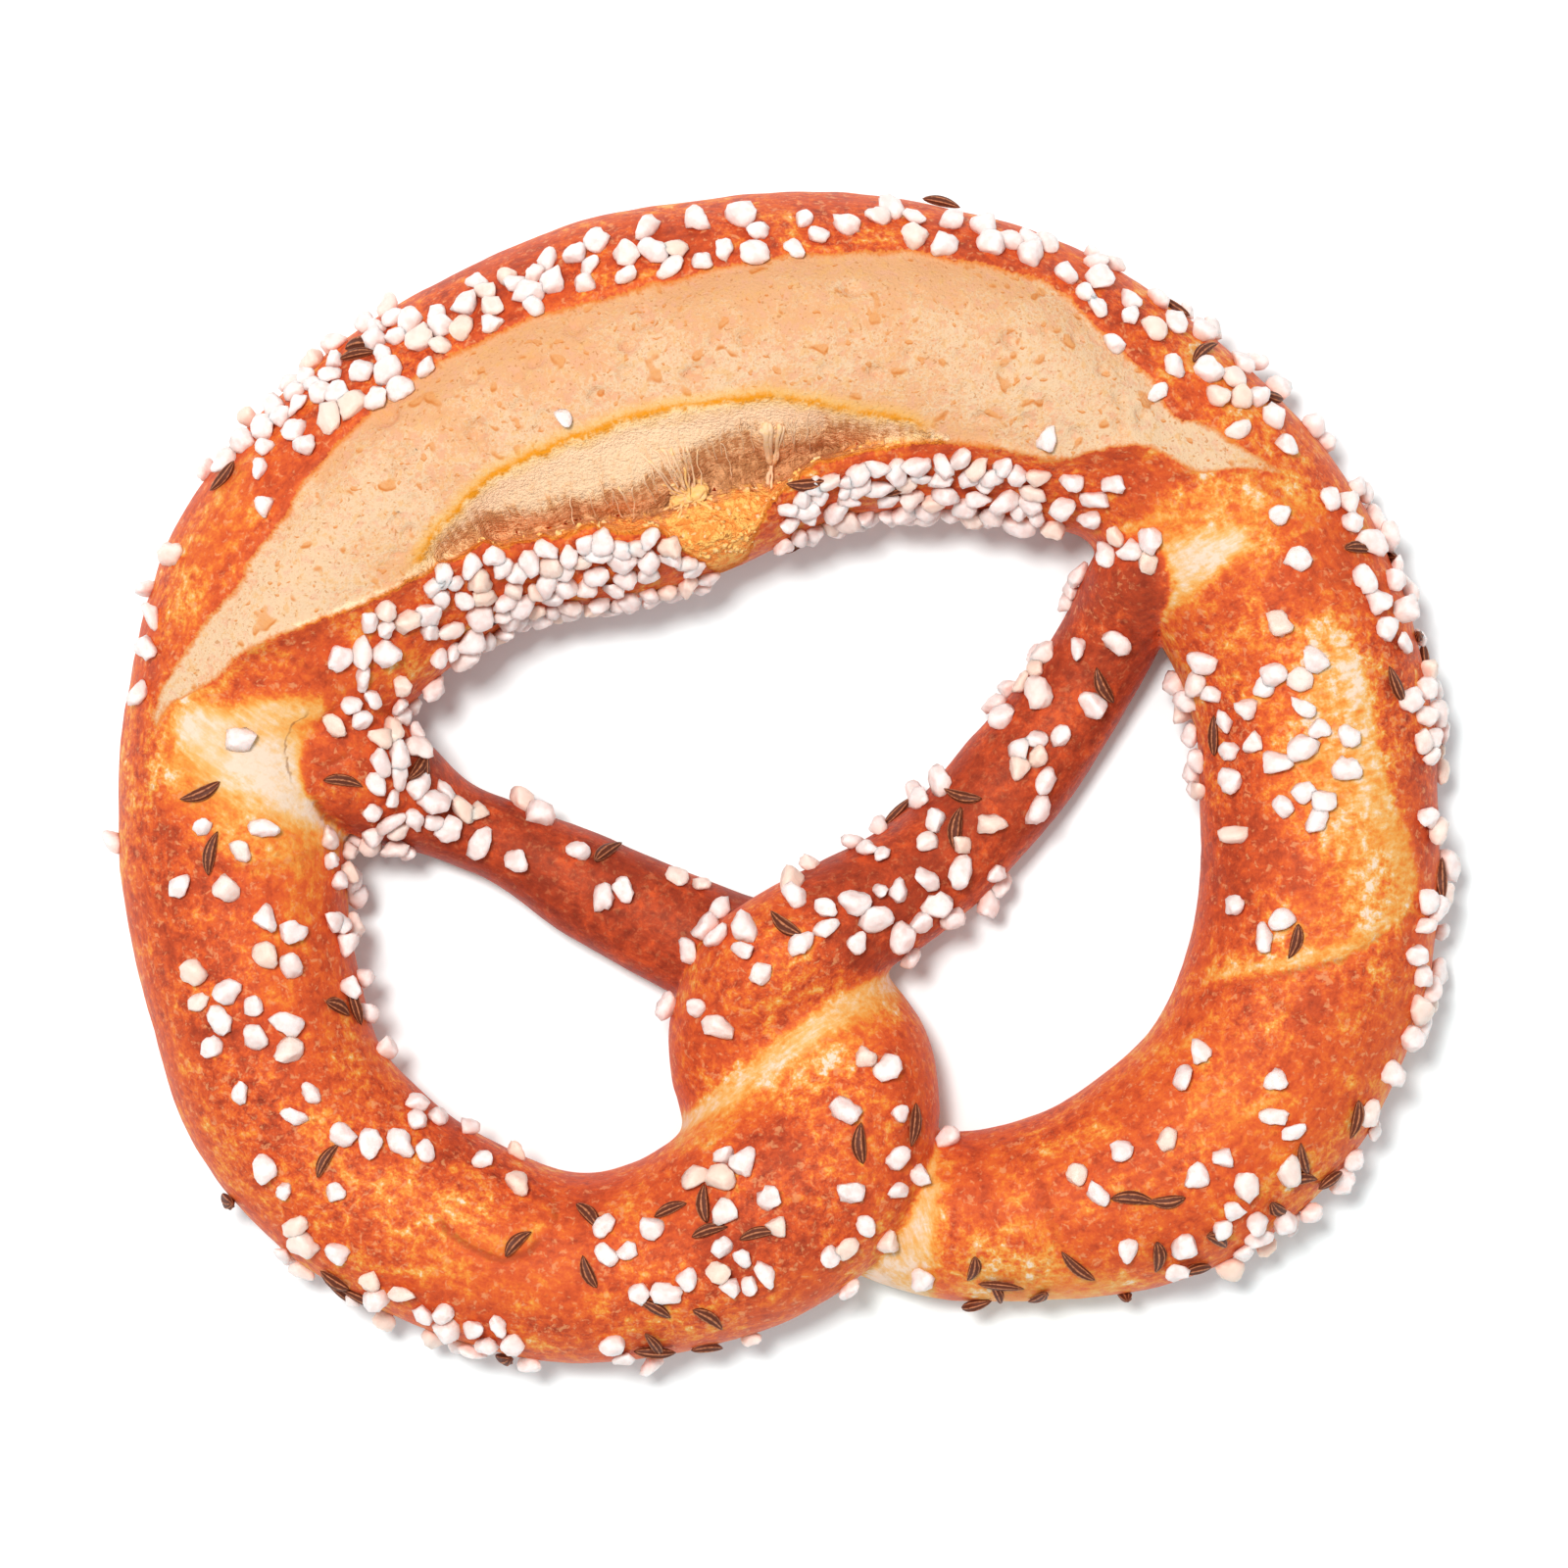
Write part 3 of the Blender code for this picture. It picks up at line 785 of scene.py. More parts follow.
def scatterSalt():
    dice = np.random.RandomState(21)
    placed = []

    def tryPlace(hit, normal, size, gap):
        place = hit + normal * size * (0.5 - salt["sunk"])
        for (other, way), otherSize in placed:
            if (other - place).length < gap * (size + otherSize) / 2:
                return False
        placed.append(((place, normal), size))
        return True

    def throwAtRim(first, last, nearest, furthest):
        along = dice.uniform(first, last)
        lip = edgesAt(along)[2]
        half = strand["rows"][ringAt(along + bellyStart), 2] / 2
        side = (half - lip - dice.uniform(nearest, furthest)) / half
        return (*landOn(bellyStart + along, side), dice.uniform(*salt["size"]))

    def throwAtZone(name, first, last, sideFrom, sideTo):
        along = stretchStart[name] + dice.uniform(first, last)
        size = dice.uniform(*salt["size"])
        return (*landOn(along, dice.uniform(sideFrom, sideTo)), size)

    def throwAtHeap(start, end, reach):
        middle = np.array(start) + dice.uniform() * (np.array(end) - np.array(start))
        drop = middle + dice.uniform(-reach, reach, 2)
        return (*dropOn(*drop), dice.uniform(*salt["size"]))

    for x, y in strayGrains:
        tryPlace(*dropOn(x, y), dice.uniform(*salt["size"]), 0.0)
    spread = [(name, *zone) for name, zones in saltZones.items() for zone in zones]
    for zones, throw in ((saltRims, throwAtRim), (spread, throwAtZone), (saltHeaps, throwAtHeap)):
        atRim = zones is saltRims
        gap = salt["crowdedGap" if atRim else "gap"]
        tries = salt["crowdedTries" if atRim else "tries"]
        for *where, count in zones:
            got = 0
            for turn in range(count * tries):
                hit, normal, size = throw(*where)
                if hit is not None and (atRim or not insideCut(hit)):
                    got += tryPlace(hit, normal, size, gap)
                if got == count:
                    break
    wanted = sum(zone[-1] for zone in saltRims + spread + saltHeaps)
    print("salt grains:", len(placed), "of", wanted + len(strayGrains))
    return placed


def makeSalt():
    dice = np.random.RandomState(8)
    ball, faces = roundBall(1, 2)
    grains = Gathering()
    for (place, normal), size in saltPlaces:
        shape = grainShape(dice, ball) * size
        tilt = dice.normal() * salt["tilt"], dice.normal() * salt["tilt"]
        shape = shape @ layOn(normal, *tilt, dice.uniform(0, 6.28))
        # the foot, where the crust's colour is painted on as a reflection
        grains.add(shape + np.array(place), faces, tint=dice.uniform() ** 2.4,
                   foot=1 - ease(*salt["footHeights"], shape @ np.array(normal) / size))
    print("salt:", len(grains.faces), "triangles")
    return grains.makePiece("salt")


saltPlaces = scatterSalt()
saltPiece = makeSalt()

# Caraway seeds, laid out in the same way.
seedZones = {
    "belly": [
        (102, 108, 0.95, 1.15, 1), (122, 128, 0.85, 1.1, 1), (130, 140, 0.75, 1, 2),
        (42, 46, 0.75, 0.95, 2), (24, 28, 0.7, 0.9, 1), (83, 87, -0.75, -0.65, 1),
        (80, 86, -1.1, -1, 1), (98, 104, -0.9, -0.8, 1), (34, 38, -0.95, -0.85, 1),
    ],
    "leftArm": [(7, 18, -0.7, 0.7, 3), (40, 52, 0.5, 0.9, 1), (62, 68, 0.4, 0.9, 1)],
    "leftLobe": [
        (70, 82, 0, 0.5, 2), (44, 54, -0.9, -0.7, 2), (26, 34, -0.3, 0.3, 1),
        (34, 40, 0.9, 1.1, 1), (4, 12, -0.4, 0.1, 1), (2, 26, 0.85, 1.1, 4),
    ],
    "neckOver": [(18, 44, -0.6, 0.5, 7), (18, 42, 0.6, 1, 4), (4, 14, 0.2, 0.8, 2)],
    "rightLobe": [
        (8, 24, 0.6, 1.05, 5), (18, 30, -0.9, -0.7, 1), (40, 46, 0.85, 1, 1),
        (52, 60, -0.5, -0.2, 1), (66, 82, 0.6, 1, 5), (82, 112, 0.5, 1.05, 10),
        (88, 100, 0, 0.4, 2),
    ],
    "rightArm": [(12, 24, -0.3, 0.5, 2), (12, 20, 0.9, 1.1, 1), (38, 44, -0.5, -0.2, 1)],
}
seed = {
    "length": (4.2, 5.7),
    "width": (1.25, 1.65),
    "bend": 0.45,                # mm that the middle bows out
    "lift": 0.45,                # mm from the crust to its middle
    "fromSalt": 2.0,             # mm that it keeps from a grain, unless the tries run out
    "apart": 1.4,                # mm between two seeds
    "pickyTries": 50,
    "tries": 60,
    "ribs": 7,
    "ribRise": 0.20,
    "dark": (0.150, 0.034, 0.014),
    "pale": (0.70, 0.25, 0.11),
    "roughness": 0.55,
    "shine": 0.2,
}


def seedShape(dice):
    rings, around = 15, 30
    length = dice.uniform(*seed["length"])
    width = dice.uniform(*seed["width"])
    t = np.linspace(0.0, 1.0, rings)
    fat = width / 2 * np.sin(np.pi * t ** 0.92) ** 0.72 * (1 - 0.12 * t)
    angle = np.linspace(0, 2 * np.pi, around, endpoint=False)
    rib = np.abs(np.cos(angle * seed["ribs"] / 2)) ** 4
    places, ribs = [], []
    for k in range(1, rings - 1):
        radius = fat[k] * (1 + seed["ribRise"] * rib)
        x = np.full(around, (t[k] - 0.5) * length)
        bow = seed["bend"] * (1 - (2 * t[k] - 1) ** 2)
        places.append(np.column_stack([x, radius * np.cos(angle) + bow,
                                       radius * np.sin(angle) * 0.85]))
        ribs.append(rib)
    places += [np.array([[-length / 2, 0, 0]]), np.array([[length / 2, 0, 0]])]
    ribs += [[0.5], [0.5]]
    faces = sleeveFaces(rings - 2, around) + tipFaces(rings - 2, around)
    return np.concatenate(places), faces, np.concatenate(ribs)


def makeSeeds():
    dice = np.random.RandomState(33)
    seeds, spots = Gathering(), []
    for name, zone in [(name, zone) for name, zones in seedZones.items() for zone in zones]:
        first, last, sideFrom, sideTo, many = zone
        got = tries = 0
        while got < many and tries < seed["tries"]:
            tries += 1
            along = stretchStart[name] + dice.uniform(first, last)
            hit, normal = landOn(along, dice.uniform(sideFrom, sideTo))
            if hit is None or insideCut(hit):
                continue
            place = hit + normal * seed["lift"]
            near = min([(place - grain).length for (grain, way), size in saltPlaces])
            if near < seed["fromSalt"] and tries < seed["pickyTries"]:
                continue
            if any((place - other).length < seed["apart"] for other in spots):
                continue
            got += 1
            spots.append(place)
            shape, faces, rib = seedShape(dice)
            turns = dice.uniform(-0.7, 0.7), dice.normal() * 0.10, dice.uniform(0, 6.28)
            seeds.add(shape @ layOn(normal, *turns) + np.array(place), faces, rib=rib)
    print("caraway seeds:", len(spots))
    return seeds.makePiece("caraway")


seedPiece = makeSeeds()

# Strands and crumbs of torn dough in the open cut.
tear = {
    "fibres": 40,
    "fibreSpots": ((70, 6), (82, 4)),        # mm along the belly, and how widely about it
    "fibreStretch": (46, 100),
    "thickness": (0.04, 0.10),
    # strands that bridge the hollow: from and to, each as along the belly, across it and
    # lifted off it, and their thickness in mm
    "bridges": [
        ((66.8, 29.6, -0.1), (69.7, 35.2, 1.7), 0.14), ((67.6, 30.2, -0.1), (69.4, 35.6, 1.6), 0.18),
        ((68.5, 29.4, -0.1), (69.9, 34.8, 1.9), 0.12), ((69.4, 29.6, -0.1), (70.1, 34.8, 1.9), 0.22),
        ((70.4, 29.8, -0.1), (70.4, 34.6, 1.9), 0.20), ((71.5, 30.0, -0.1), (70.9, 34.8, 1.9), 0.12),
        ((72.2, 30.0, -0.1), (71.3, 35.0, 1.7), 0.16), ((73.1, 30.6, -0.1), (71.9, 35.4, 1.6), 0.10),
        ((81.6, 29.2, -0.1), (81.8, 33.4, 0.9), 0.36), ((82.4, 28.8, -0.1), (81.9, 33.4, 1.0), 0.42),
        ((83.2, 28.6, -0.1), (82.0, 33.2, 1.0), 0.42), ((84.1, 28.8, -0.1), (82.1, 33.4, 0.9), 0.34),
        ((85.0, 29.2, -0.1), (82.3, 33.6, 0.8), 0.20),
        ((82.1, 32.8, 0.9), (80.4, 36.0, -0.1), 0.30), ((82.0, 33.0, 0.9), (81.4, 36.4, -0.1), 0.18),
        ((63.2, 32.4, -0.1), (63.5, 35.8, -0.1), 0.14), ((62.5, 32.4, -0.1), (62.6, 36.2, -0.1), 0.10),
        ((59.5, 31.6, -0.1), (59.7, 34.8, -0.1), 0.10), ((76.4, 30.2, -0.1), (76.2, 34.6, -0.1), 0.08),
        ((66.2, 31.8, -0.1), (66.6, 35.8, -0.1), 0.10)],
    "tuft": (70.4, 35.9, 1.5),       # along, across and lift in mm
    "tuftSize": (1.8, 1.7, 0.65),    # mm
    "tuftStrands": 16,
    "tuftCrumbs": 36,
    "crumbs": 110,
    "crumbSpots": ((73.5, 3.5), (73.5, 3.5)),
    "crumbStretch": (42, 104),
    "crumbsReach": 44.0,             # mm across, past which none lie
    "crumbSize": (0.25, 0.75),
}


def cutPlace(bellyAlong, across, lift):
    # A place in the open cut, a little above its surface.
    i = ringAt(bellyAlong + bellyStart)
    x, y, width = strand["rows"][i, :3]
    hit = dropOn(*(np.array([x, y]) + strand["out"][i] * (width / 2 - across)))[0]
    return np.array(hit) + np.array([0.0, 0.0, lift])


def tube(path, radii, around=6):
    ahead = np.gradient(path, axis=0)
    ahead /= np.linalg.norm(ahead, axis=1)[:, None]
    places = []
    for p, way, radius in zip(path, ahead, radii):
        first = np.cross(way, [0.3, 0.2, 1.0])
        first /= np.linalg.norm(first)
        second = np.cross(way, first)
        angle = np.linspace(0, 2 * np.pi, around, endpoint=False)[:, None]
        places.append(p + radius * (np.cos(angle) * first + np.sin(angle) * second))
    first, last = list(range(around)), (len(path) - 1) * around
    ends = [first[::-1], [last + j for j in first]]
    return np.concatenate(places), sleeveFaces(len(path), around) + ends


def makeTear():
    dice = np.random.RandomState(17)
    pieces = Gathering()

    def strandBetween(start, end, thick, sag, tone):
        steps = np.linspace(0, 1, 11)
        path = start + steps[:, None] * (end - start)
        path += 0.14 * dice.normal(size=path.shape) * np.array([1.0, 1.0, 0.5])
        path[:, 2] -= sag * np.sin(math.pi * steps)
        path[1:-1] = (path[:-2] + 2 * path[1:-1] + path[2:]) / 4
        for p in path[1:-1]:
            below = dropOn(*p[:2])[0]
            if below is not None:
                p[2] = max(p[2], below[2] + 0.5 * thick)
        spread = 0.65 + 0.6 * np.abs(2 * steps - 1) ** 2 + 0.3 * dice.uniform(size=len(steps))
        spread[[0, -1]] *= 0.4
        pieces.add(*tube(path, thick * spread), tone=tone + dice.uniform(0.0, 0.15))

    def somewhere(spots, stretch):
        # A place along the belly: near one of the spots, or anywhere in the stretch.
        return dice.choice([dice.normal(*spot) for spot in spots] + [dice.uniform(*stretch)])

    count = 0
    while count < tear["fibres"]:
        middle = somewhere(tear["fibreSpots"], tear["fibreStretch"])
        outer, crest, lip, torn, brownAndShade, golden = edgesAt(middle)
        if lip - crest < 5.0:
            continue
        count += 1
        first = brownAndShade - dice.uniform(0.3, 2.0)
        last = min(first + dice.uniform(1.5, 4.0), golden + 0.5)
        start = cutPlace(middle, first, -0.04)
        end = cutPlace(middle + dice.normal() * 0.5, last, -0.04)
        strandBetween(start, end, dice.uniform(*tear["thickness"]), dice.uniform(-0.2, 0.1), 0.0)
    for start, end, thick in tear["bridges"]:
        strandBetween(cutPlace(*start), cutPlace(*end), thick, 0.2, 0.05)
    ball, ballFaces = roundBall(2)

    def crumbAt(place, size, tone):
        shape = ball * (1 + softNoise(ball, 0.6, dice.uniform(0, 50)))[:, None]
        pieces.add(shape * size / 2 * dice.uniform(0.6, 1.3, 3) + place, ballFaces, tone=tone)

    # the tuft where the strands meet
    along, across, lift = tear["tuft"]
    tuft = cutPlace(along, across, lift)
    lump, lumpFaces = roundBall(4)
    around = lump[:, :2] / (np.linalg.norm(lump[:, :2], axis=1)[:, None] + 0.2)
    arms = np.clip(softNoise(np.column_stack([around, 0 * around[:, 0]]), 0.36, 3.1) + 0.25, 0, 1)
    ragged = 0.55 + 1.0 * arms + 0.25 * softNoise(lump, 0.35, 7.7)
    pieces.add(lump * ragged[:, None] * tear["tuftSize"] + tuft, lumpFaces, tone=0.45)
    for k in range(tear["tuftStrands"]):
        turn = dice.uniform(0, 2 * math.pi)
        far = dice.uniform(1.8, 3.6)
        foot = cutPlace(along + far * math.cos(turn), across + far * math.sin(turn), -0.1)
        strandBetween(tuft + 0.3 * dice.normal(size=3), foot, dice.uniform(0.06, 0.22), 0.3, 0.35)

    for k in range(tear["tuftCrumbs"]):
        turn, far = dice.uniform(0, 2 * math.pi), 2.3 * dice.uniform() ** 0.7
        spot = tuft + [far * math.cos(turn), far * math.sin(turn), 0.5 - 0.75 * far]
        crumbAt(spot, dice.uniform(0.5, 1.2), dice.uniform(0.15, 0.50))

    # loose crumbs in the broken lip
    for k in range(tear["crumbs"]):
        middle = somewhere(tear["crumbSpots"], tear["crumbStretch"])
        outer, crest, lip, torn, brownAndShade, golden = edgesAt(middle)
        lip = min(lip, tear["crumbsReach"])
        if lip - crest < 2.5:
            continue
        across = lip - 0.5 - dice.uniform() ** 2 * (lip - golden)
        crumbAt(cutPlace(middle, across, -0.12), dice.uniform(*tear["crumbSize"]),
                dice.uniform(0.30, 0.80))
    return pieces.makePiece("tornCrumb")


tearPiece = makeTear()
print("torn crumb made")

lightLevel = 1.5      # how bright a white sheet on the table comes out


class Nodes:
    # Short ways to add shader nodes to one material.
    def __init__(self, name):
        self.material = bpy.data.materials.new(name)
        self.material.use_nodes = True
        self.tree = self.material.node_tree
        self.skin = self.tree.nodes["Principled BSDF"]

    def put(self, socket, value):
        if isinstance(value, bpy.types.NodeSocket):
            self.tree.links.new(value, socket)
        elif isinstance(value, tuple) and len(value) == 3 and socket.type == "RGBA":
            socket.default_value = (*value, 1.0)
        else:
            socket.default_value = value

    def add(self, kind, inputs, **settings):
        # A node of a kind, set up, with its inputs filled or linked by name or place.
        node = self.tree.nodes.new("ShaderNode" + kind)
        for name, value in settings.items():
            setattr(node, name, value)
        for key, value in inputs.items():
            self.put(node.inputs[key], value)
        return node.outputs

    def value(self, name):
        return self.add("Attribute", {}, attribute_name=name)["Fac"]

    def vector(self, name):
        return self.add("Attribute", {}, attribute_name=name)["Vector"]

    def places(self):
        # Places on the piece, in mm.
        return self.scale(self.add("TexCoord", {})["Object"], (1 / mm, 1 / mm, 1 / mm))

    def scale(self, vector, by):
        return self.add("VectorMath", {0: vector, 1: by}, operation="MULTIPLY")[0]

    def shift(self, vector, by):
        return self.add("VectorMath", {0: vector, 1: by}, operation="ADD")[0]

    def noise(self, vector, size, detail=2.0, rough=0.5):
        # Noise about zero, with lumps of a size in mm.
        made = self.add("TexNoise", {"Vector": vector, "Scale": 1.0 / size, "Detail": detail,
                                     "Roughness": rough})
        return self.calc("SUBTRACT", made["Fac"], 0.5)

    def warp(self, vector, size, by):
        # The places moved about, by up to some mm, in lumps of a size.
        made = self.add("TexNoise", {"Vector": vector, "Scale": 1.0 / size, "Detail": 1.0})
        return self.add("VectorMath", {0: made["Color"], 1: (2 * by, 2 * by, 2 * by), 2: vector},
                        operation="MULTIPLY_ADD")[0]

    def pits(self, vector, size, least, widest):
        # Scattered round pits. Only the share of cells past the least has one, and the
        # widest reaches that share of a cell.
        cells = self.add("TexVoronoi", {"Vector": vector, "Scale": 1.0 / size})
        radius = self.calc("MULTIPLY_ADD", self.ease(cells["Color"], least, 1.0), widest, 0.001)
        return self.less(self.ease(self.calc("DIVIDE", cells["Distance"], radius), 0.6, 1.1))

    def calc(self, kind, a, b=0.0, c=0.0):
        return self.add("Math", {0: a, 1: b, 2: c}, operation=kind)[0]

    def less(self, value):
        # What is left of one.
        return self.calc("SUBTRACT", 1.0, value)

    def times(self, first, *others):
        for value in others:
            first = self.calc("MULTIPLY", first, value)
        return first

    def blend(self, *pairs):
        # The sum of values, each times its weight.
        total = 0.0
        for value, weight in pairs:
            total = self.calc("MULTIPLY_ADD", value, weight, total)
        return total

    def ease(self, value, low, high):
        return self.add("MapRange", {"Value": value, "From Min": low, "From Max": high},
                        interpolation_type="SMOOTHSTEP")["Result"]

    def mix(self, factor, a, b):
        colours = {"Factor": factor, "A": self.paint(a), "B": self.paint(b)}
        return self.add("Mix", colours, data_type="RGBA")["Result"]

    def over(self, under, colour, *shares):
        # A colour laid over another, as thickly as the shares say together.
        return self.mix(self.times(*shares), under, colour)

    def mixValue(self, factor, a, b):
        return self.add("Mix", {"Factor": factor, "A": a, "B": b})["Result"]

    def paint(self, colour):
        if isinstance(colour, tuple):
            return tuple(min(c / lightLevel, 1.0) for c in colour[:3]) + (1.0,)
        return colour

    def ramp(self, value, stops):
        node = self.tree.nodes.new("ShaderNodeValToRGB")
        self.put(node.inputs["Fac"], value)
        marks = node.color_ramp.elements
        while len(marks) < len(stops):
            marks.new(0.5)
        for mark, (place, colour) in zip(marks, stops):
            mark.position = place
            mark.color = self.paint(colour)
        return node.outputs["Color"]

    def finish(self, colour, roughness, height, strength):
        # The skin's colour, its roughness and its relief, whose height is in mm.
        self.put(self.skin.inputs["Base Color"], colour)
        self.put(self.skin.inputs["Roughness"], roughness)
        relief = self.add("Bump", {"Height": height, "Strength": strength, "Distance": mm})
        self.put(self.skin.inputs["Normal"], relief["Normal"])
        return self.material


crust = {
    # colours for the level of baking, which also carries the painted sheen on the flanks
    "bakeAndSheen": [
        (0.00, (0.22, 0.026, 0.012)),
        (0.16, (0.38, 0.050, 0.022)),
        (0.32, (0.60, 0.080, 0.028)),
        (0.46, (0.82, 0.118, 0.033)),
        (0.58, (0.94, 0.172, 0.036)),
        (0.68, (1.00, 0.275, 0.044)),
        (0.78, (1.03, 0.410, 0.074)),
        (0.88, (1.04, 0.580, 0.190)),
        (0.95, (1.05, 0.720, 0.420)),
        (1.00, (1.06, 0.840, 0.640)),
    ],
    "middle": 0.50,
    "speck": (0.42, 0.046, 0.014),
    "fleck": (1.00, 0.420, 0.180),
    "freckle": (1.02, 0.420, 0.180),
    "flank": (1.20, 1.12, 1.16),     # painted light: how much lighter the steep sides are painted, a painted sheen
    # painted shade in the creases
    "foldShade": (0.40, 0.050, 0.014),
    "crack": (0.34, 0.130, 0.050),
    "underside": [
        (0.0, (0.36, 0.10, 0.03)),
        (0.5, (0.58, 0.19, 0.06)),
        (1.0, (0.74, 0.32, 0.12)),
    ],
    "roughness": 0.50,
    "shine": 0.12,
    "shineTint": (1.0, 0.72, 0.5),
}
crumb = {
    "dome": (0.96, 0.500, 0.240),
    "domePale": (0.99, 0.690, 0.430),
    "domeWarm": (0.97, 0.500, 0.170),
    "domePink": (0.98, 0.510, 0.340),
    "pore": (0.80, 0.260, 0.060),
    "poreFloor": (0.95, 0.400, 0.130),
    "speck": (0.66, 0.260, 0.080),
    "edge": (0.90, 0.250, 0.030),
    "ridge": (1.00, 0.360, 0.016),
    "glow": (1.08, 0.620, 0.130),
    # painted light below the crest
    "litWallTop": (1.45, 0.990, 0.620),
    "wall": (1.24, 0.840, 0.520),
    "wallTan": (1.20, 0.700, 0.370),
    # the hollow: the crumb's own brown together with painted shade; its floor is painted darker still,
    # as painted shade
    "brownAndShade": (1.50, 0.960, 0.500),
    "dark": (0.98, 0.470, 0.195),
    "floor": (1.12, 0.580, 0.270),
    "floorShade": (0.72, 0.320, 0.130),
    "golden": (1.50, 0.800, 0.210),
    "goldenBrown": (1.42, 0.460, 0.090),
    "hole": (0.56, 0.150, 0.036),
    "tuft": (1.24, 0.780, 0.270),
    "lip": (0.98, 0.270, 0.030),
}


def crustMaterial():
    n = Nodes("crust")
    at = n.places()
    grain = n.vector("grain")
    # how baked the crust is, with painted sheen on the flanks
    bakedAndSheen = n.value("bakeAndSheen")
    stirred = n.warp(at, 1.3, 0.5)
    broad = n.noise(at, 15.0, 2.0)
    clouds = n.noise(n.warp(at, 6.0, 2.5), 5.0, 4.0, 0.62)
    flecks = n.noise(stirred, 1.3, 3.0, 0.62)
    fine = n.noise(at, 0.36, 1.0, 0.6)
    drawn = n.noise(n.scale(grain, (0.28, 1.0, 1.0)), 1.6, 2.0, 0.6)
    streaks = n.noise(n.vector("flow"), 0.7, 3.0, 0.6)
    # pale dough is smooth, and streaked where it has been stretched, but not where palest
    pale = n.ease(bakedAndSheen, 0.16, 0.42)
    mottle = n.blend((clouds, 0.82), (flecks, 1.05), (fine, 0.28), (drawn, 0.36))
    # some stretches are even, others blotched, and the dark arms are even, with few flecks
    uneven = n.mixValue(n.ease(n.blend((broad, 1.0), (clouds, 0.7)), -0.18, 0.20), 0.60, 1.42)
    lively = n.ease(bakedAndSheen, -0.24, -0.10)
    mottle = n.times(mottle, n.mixValue(pale, 1.0, 0.24), uneven, n.mixValue(lively, 0.50, 0.90))
    streaky = n.times(streaks, n.mixValue(pale, 0.26, 0.50),
                      n.mixValue(n.ease(bakedAndSheen, 0.34, 0.50), 1.0, 0.40))
    bakeAndSheen = n.blend((bakedAndSheen, 1.0), (broad, 0.38), (mottle, 1.0), (streaky, 1.0))
    skin = n.ramp(n.calc("ADD", bakeAndSheen, crust["middle"]), crust["bakeAndSheen"])
    dull = n.less(n.mixValue(pale, 0.0, 0.85))
    specks = n.noise(stirred, 1.0, 2.0, 0.65)
    skin = n.over(skin, crust["speck"], n.ease(specks, 0.12, 0.24), 0.34, dull)
    skin = n.over(skin, crust["fleck"], n.ease(specks, -0.06, -0.20), dull,
                  n.mixValue(lively, 0.20, 0.62))
    freckles = n.times(n.noise(stirred, 0.42, 1.0, 0.7), uneven)
    skin = n.over(skin, crust["freckle"], n.ease(freckles, 0.08, 0.22), dull,
                  n.mixValue(lively, 0.10, 0.26))
    split = n.calc("ABSOLUTE", n.blend((n.value("crack"), 1.0), (clouds, 1.2), (flecks, 0.9)))
    skin = n.over(skin, crust["crack"], n.less(n.ease(split, 0.04, 0.24)), n.value("crackRun"),
                  n.ease(drawn, -0.08, 0.06), 0.6)
    # painted shade: the creases are painted darker
    crease = n.value("crease")
    foldShade = n.blend((crease, 1.0), (flecks, 0.6), (clouds, 0.5))
    skin = n.over(skin, crust["foldShade"], n.ease(foldShade, 0.14, 0.42), n.ease(crease, 0.02, 0.10), 0.62)
    under = n.calc("ADD", n.blend((flecks, 1.2), (clouds, 1.0)), 0.5)
    skin = n.over(skin, n.ramp(under, crust["underside"]), n.value("base"))

    # the open crumb: its fields, in mm from their edges, are made ragged
    cut = n.blend((n.value("cut"), 1.0), (clouds, 0.9), (flecks, 1.3), (fine, 0.5))
    wall = n.blend((n.value("wall"), 1.0), (clouds, 1.6), (flecks, 1.2), (fine, 0.4))
    furrow = n.noise(n.scale(grain, (1.0, 0.22, 0.22)), 0.9, 3.0, 0.65)
    sponge = n.noise(stirred, 0.9, 3.0, 0.7)
    grit = n.noise(at, 0.45, 1.0, 0.7)
    tone = n.blend((clouds, 0.9), (broad, 0.6), (flecks, 0.9), (grit, 0.9),
                   (n.value("towardsEnds"), 0.46), (n.value("cut"), 0.026), (1.0, -0.18))
    dome = n.mix(n.ease(tone, -0.12, 0.30), crumb["dome"], crumb["domePale"])
    dome = n.over(dome, crumb["domeWarm"], n.ease(flecks, 0.03, 0.16), 0.55)
    dome = n.over(dome, crumb["domePink"], n.ease(flecks, -0.03, -0.16), 0.45)
    dome = n.over(dome, crumb["pore"], n.ease(grit, 0.10, 0.22), 0.40)
    dots = n.ease(n.noise(stirred, 0.50, 1.0), 0.172, 0.225)
    dome = n.over(dome, crumb["speck"], dots, 0.65)
    # pores have a warm floor, and are darker on the side that the light doesn't reach
    bubbly = n.warp(at, 2.4, 0.4)
    shaded = []
    for size, step, least, share in ((1.15, 0.20, 0.165, 0.80), (2.6, 0.40, 0.155, 0.75)):
        depth = n.ease(n.noise(bubbly, size, 1.0), least, least + 0.07)
        above = n.noise(n.shift(bubbly, (0.0, -step, 0.0)), size, 1.0)
        shaded.append(n.times(depth, n.less(n.ease(above, 0.12, 0.22)), 0.95))
        dome = n.over(dome, crumb["poreFloor"], depth, share)
    for share in shaded:
        dome = n.over(dome, crumb["pore"], share)
    dome = n.over(dome, crumb["edge"], n.less(n.ease(cut, 0.0, 0.8)), 0.9)
